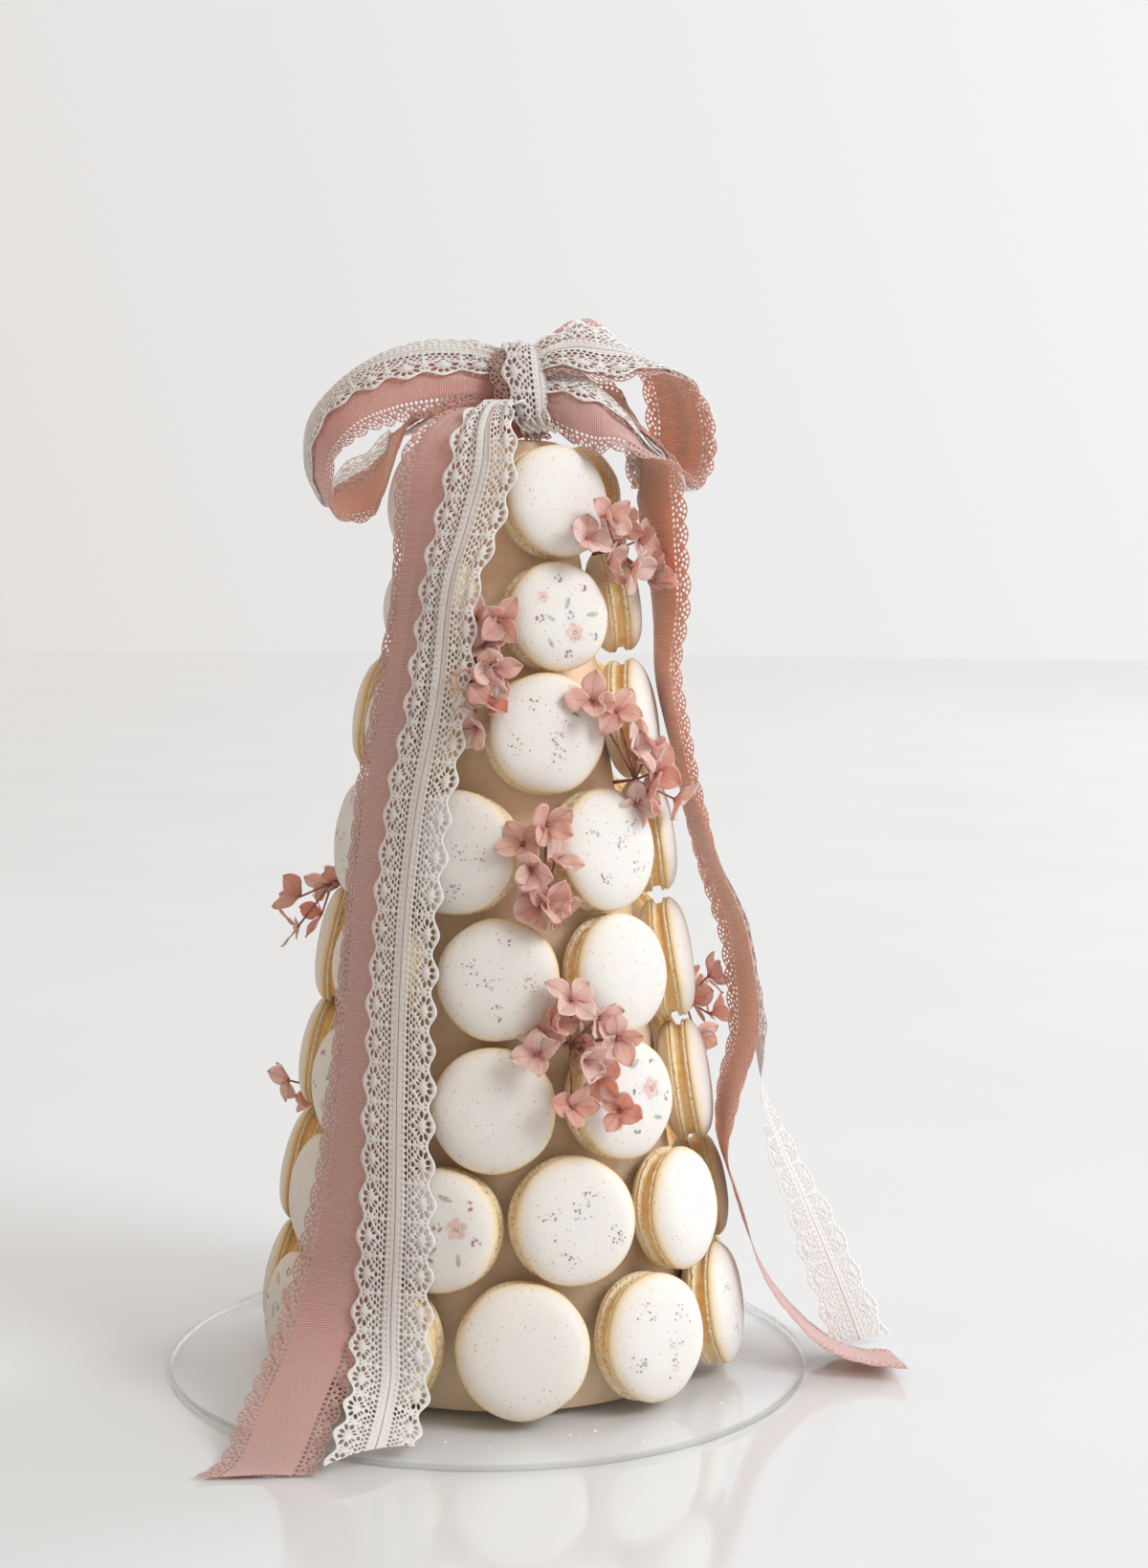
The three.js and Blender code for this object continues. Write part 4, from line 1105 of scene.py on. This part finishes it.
# Crumbs: a few pale flakes of shell that have dropped on the plate in front of the tower.
# Each is a flattened, uneven lump at a place and with a size in millimetres.
CRUMB_BAKE = 0.4
CRUMBS = [(32, -96, 0.9), (36, -99, 0.6), (41, -92, 1.1), (58, -101, 0.7), (69, -84, 0.8), (73, -88, 0.6),
          (88, -62, 1.0), (92, -66, 0.6), (97, -55, 0.7), (-12, -104, 0.8), (4, -108, 0.6), (62, -90, 0.5)]
bm = bmesh.new()
chance = random.Random(7)
for x, y, size in CRUMBS:
    spot = Matrix.Translation((x * MM, y * MM, PLATE_THICKNESS + 0.3 * size * MM))
    spot = spot @ Matrix.Rotation(chance.uniform(0, 6), 4, "Z")
    spot = spot @ Matrix.Diagonal((size, 0.7 * size, 0.4 * size, 1))
    made = bmesh.ops.create_icosphere(bm, subdivisions=2, radius=MM, matrix=spot)
    for vert in made["verts"]:
        vert.co += Vector((chance.uniform(-1, 1), chance.uniform(-1, 1), 0)) * 0.12 * size * MM
crumbs = to_mesh("shell_crumbs", bm)
set_bake_and_glow(crumbs, np.full(len(crumbs.vertices), CRUMB_BAKE))
add_piece("shell_crumbs", crumbs, [shell], "baked_shell")


# Studio: a plain pale floor, soft daylight from the right and behind, and the camera of the photograph.
# None of it belongs to the tower.
FLOOR_AT = -0.4 * MM
FLOOR_RADIUS = 9.0
FOCAL_PIXELS = 2500
IMAGE_HEIGHT = 1639
SENSOR = 36
CAMERA_AT = (31.6 * MM, -927.4 * MM, 307.3 * MM)
CAMERA_DOWN = radians(4.89)
CAMERA_ROLL = radians(0.5)
# The daylight grows along this direction: towards the window on the right, the wall behind and the ceiling.
SKY_TILT = (0.24, 0.14, 0.1)
SKY_STRENGTH = 1.05
LIT_PLACE = Vector((0, 0, 0.2))
# Lamps: place, size, power and colour.
LAMPS = {
    "window_light": ((4.0, -2.3, 3.6), 2.6, 180, (0.93, 0.97, 1.0)),
    "back_light": ((4.2, 3.6, 2.3), 2.4, 130, (0.97, 0.98, 1.0)),
}

floor_finish, shader, place = new_finish("pale_floor", {"Specular IOR Level": 0.8})
gloss = grain(place, 3, 2)
wire(spread(gloss, 0.3, 0.7, 0.06, 0.1), shader, "Roughness")
wire(ramp(gloss, [(0.3, 217, 219, 221), (0.7, 222, 224, 226)]), shader, "Base Color")
bm = bmesh.new()
bmesh.ops.create_circle(bm, cap_ends=True, segments=64, radius=FLOOR_RADIUS,
                        matrix=Matrix.Translation((0, 0, FLOOR_AT)))
floor = into_scene("floor", to_mesh("floor", bm))
floor.data.materials.append(floor_finish)

world = bpy.data.worlds.new("studio")
world.use_nodes = True
sky = world.node_tree
toward = put(sky, "ShaderNodeTexCoord").outputs["Generated"]
facing = put(sky, "ShaderNodeVectorMath", {0: toward, 1: SKY_TILT}, operation="DOT_PRODUCT").outputs["Value"]
facing = spread(facing, -0.3, 0.3)
# The room's light is warm, and what the camera and the glossy surfaces see of the room is a paler backdrop.
glow = ramp(facing, [(0.0, 159, 137, 111), (0.5, 207, 197, 184), (1.0, 248, 251, 255)])
backdrop = ramp(facing, [(0.0, 205, 202, 199), (0.5, 212, 206, 200), (1.0, 248, 251, 255)])
rays = put(sky, "ShaderNodeLightPath").outputs
seen = calc("MAXIMUM", rays["Is Camera Ray"], rays["Is Glossy Ray"])
wire(blended(seen, glow, backdrop), sky.nodes["Background"], "Color")
sky.nodes["Background"].inputs["Strength"].default_value = SKY_STRENGTH
bpy.context.scene.world = world

for name, (lamp_at, size, power, colour) in LAMPS.items():
    lamp = bpy.data.lights.new(name, "AREA")
    lamp.shape = "DISK"
    lamp.size = size
    lamp.energy = power
    lamp.color = colour
    light = into_scene(name, lamp)
    light.location = lamp_at
    light.rotation_euler = (LIT_PLACE - Vector(lamp_at)).to_track_quat("-Z", "Y").to_euler()
    light.visible_camera = light.visible_glossy = light.visible_transmission = False

lens = bpy.data.cameras.new("camera")
lens.sensor_width = SENSOR
lens.lens = FOCAL_PIXELS / IMAGE_HEIGHT * SENSOR
camera = into_scene("camera", lens)
camera.matrix_world = (Matrix.Translation(CAMERA_AT) @ Matrix.Rotation(pi / 2 - CAMERA_DOWN, 4, "X")
                       @ Matrix.Rotation(CAMERA_ROLL, 4, "Z"))
bpy.context.scene.camera = camera
bpy.context.scene.view_settings.view_transform = "Standard"
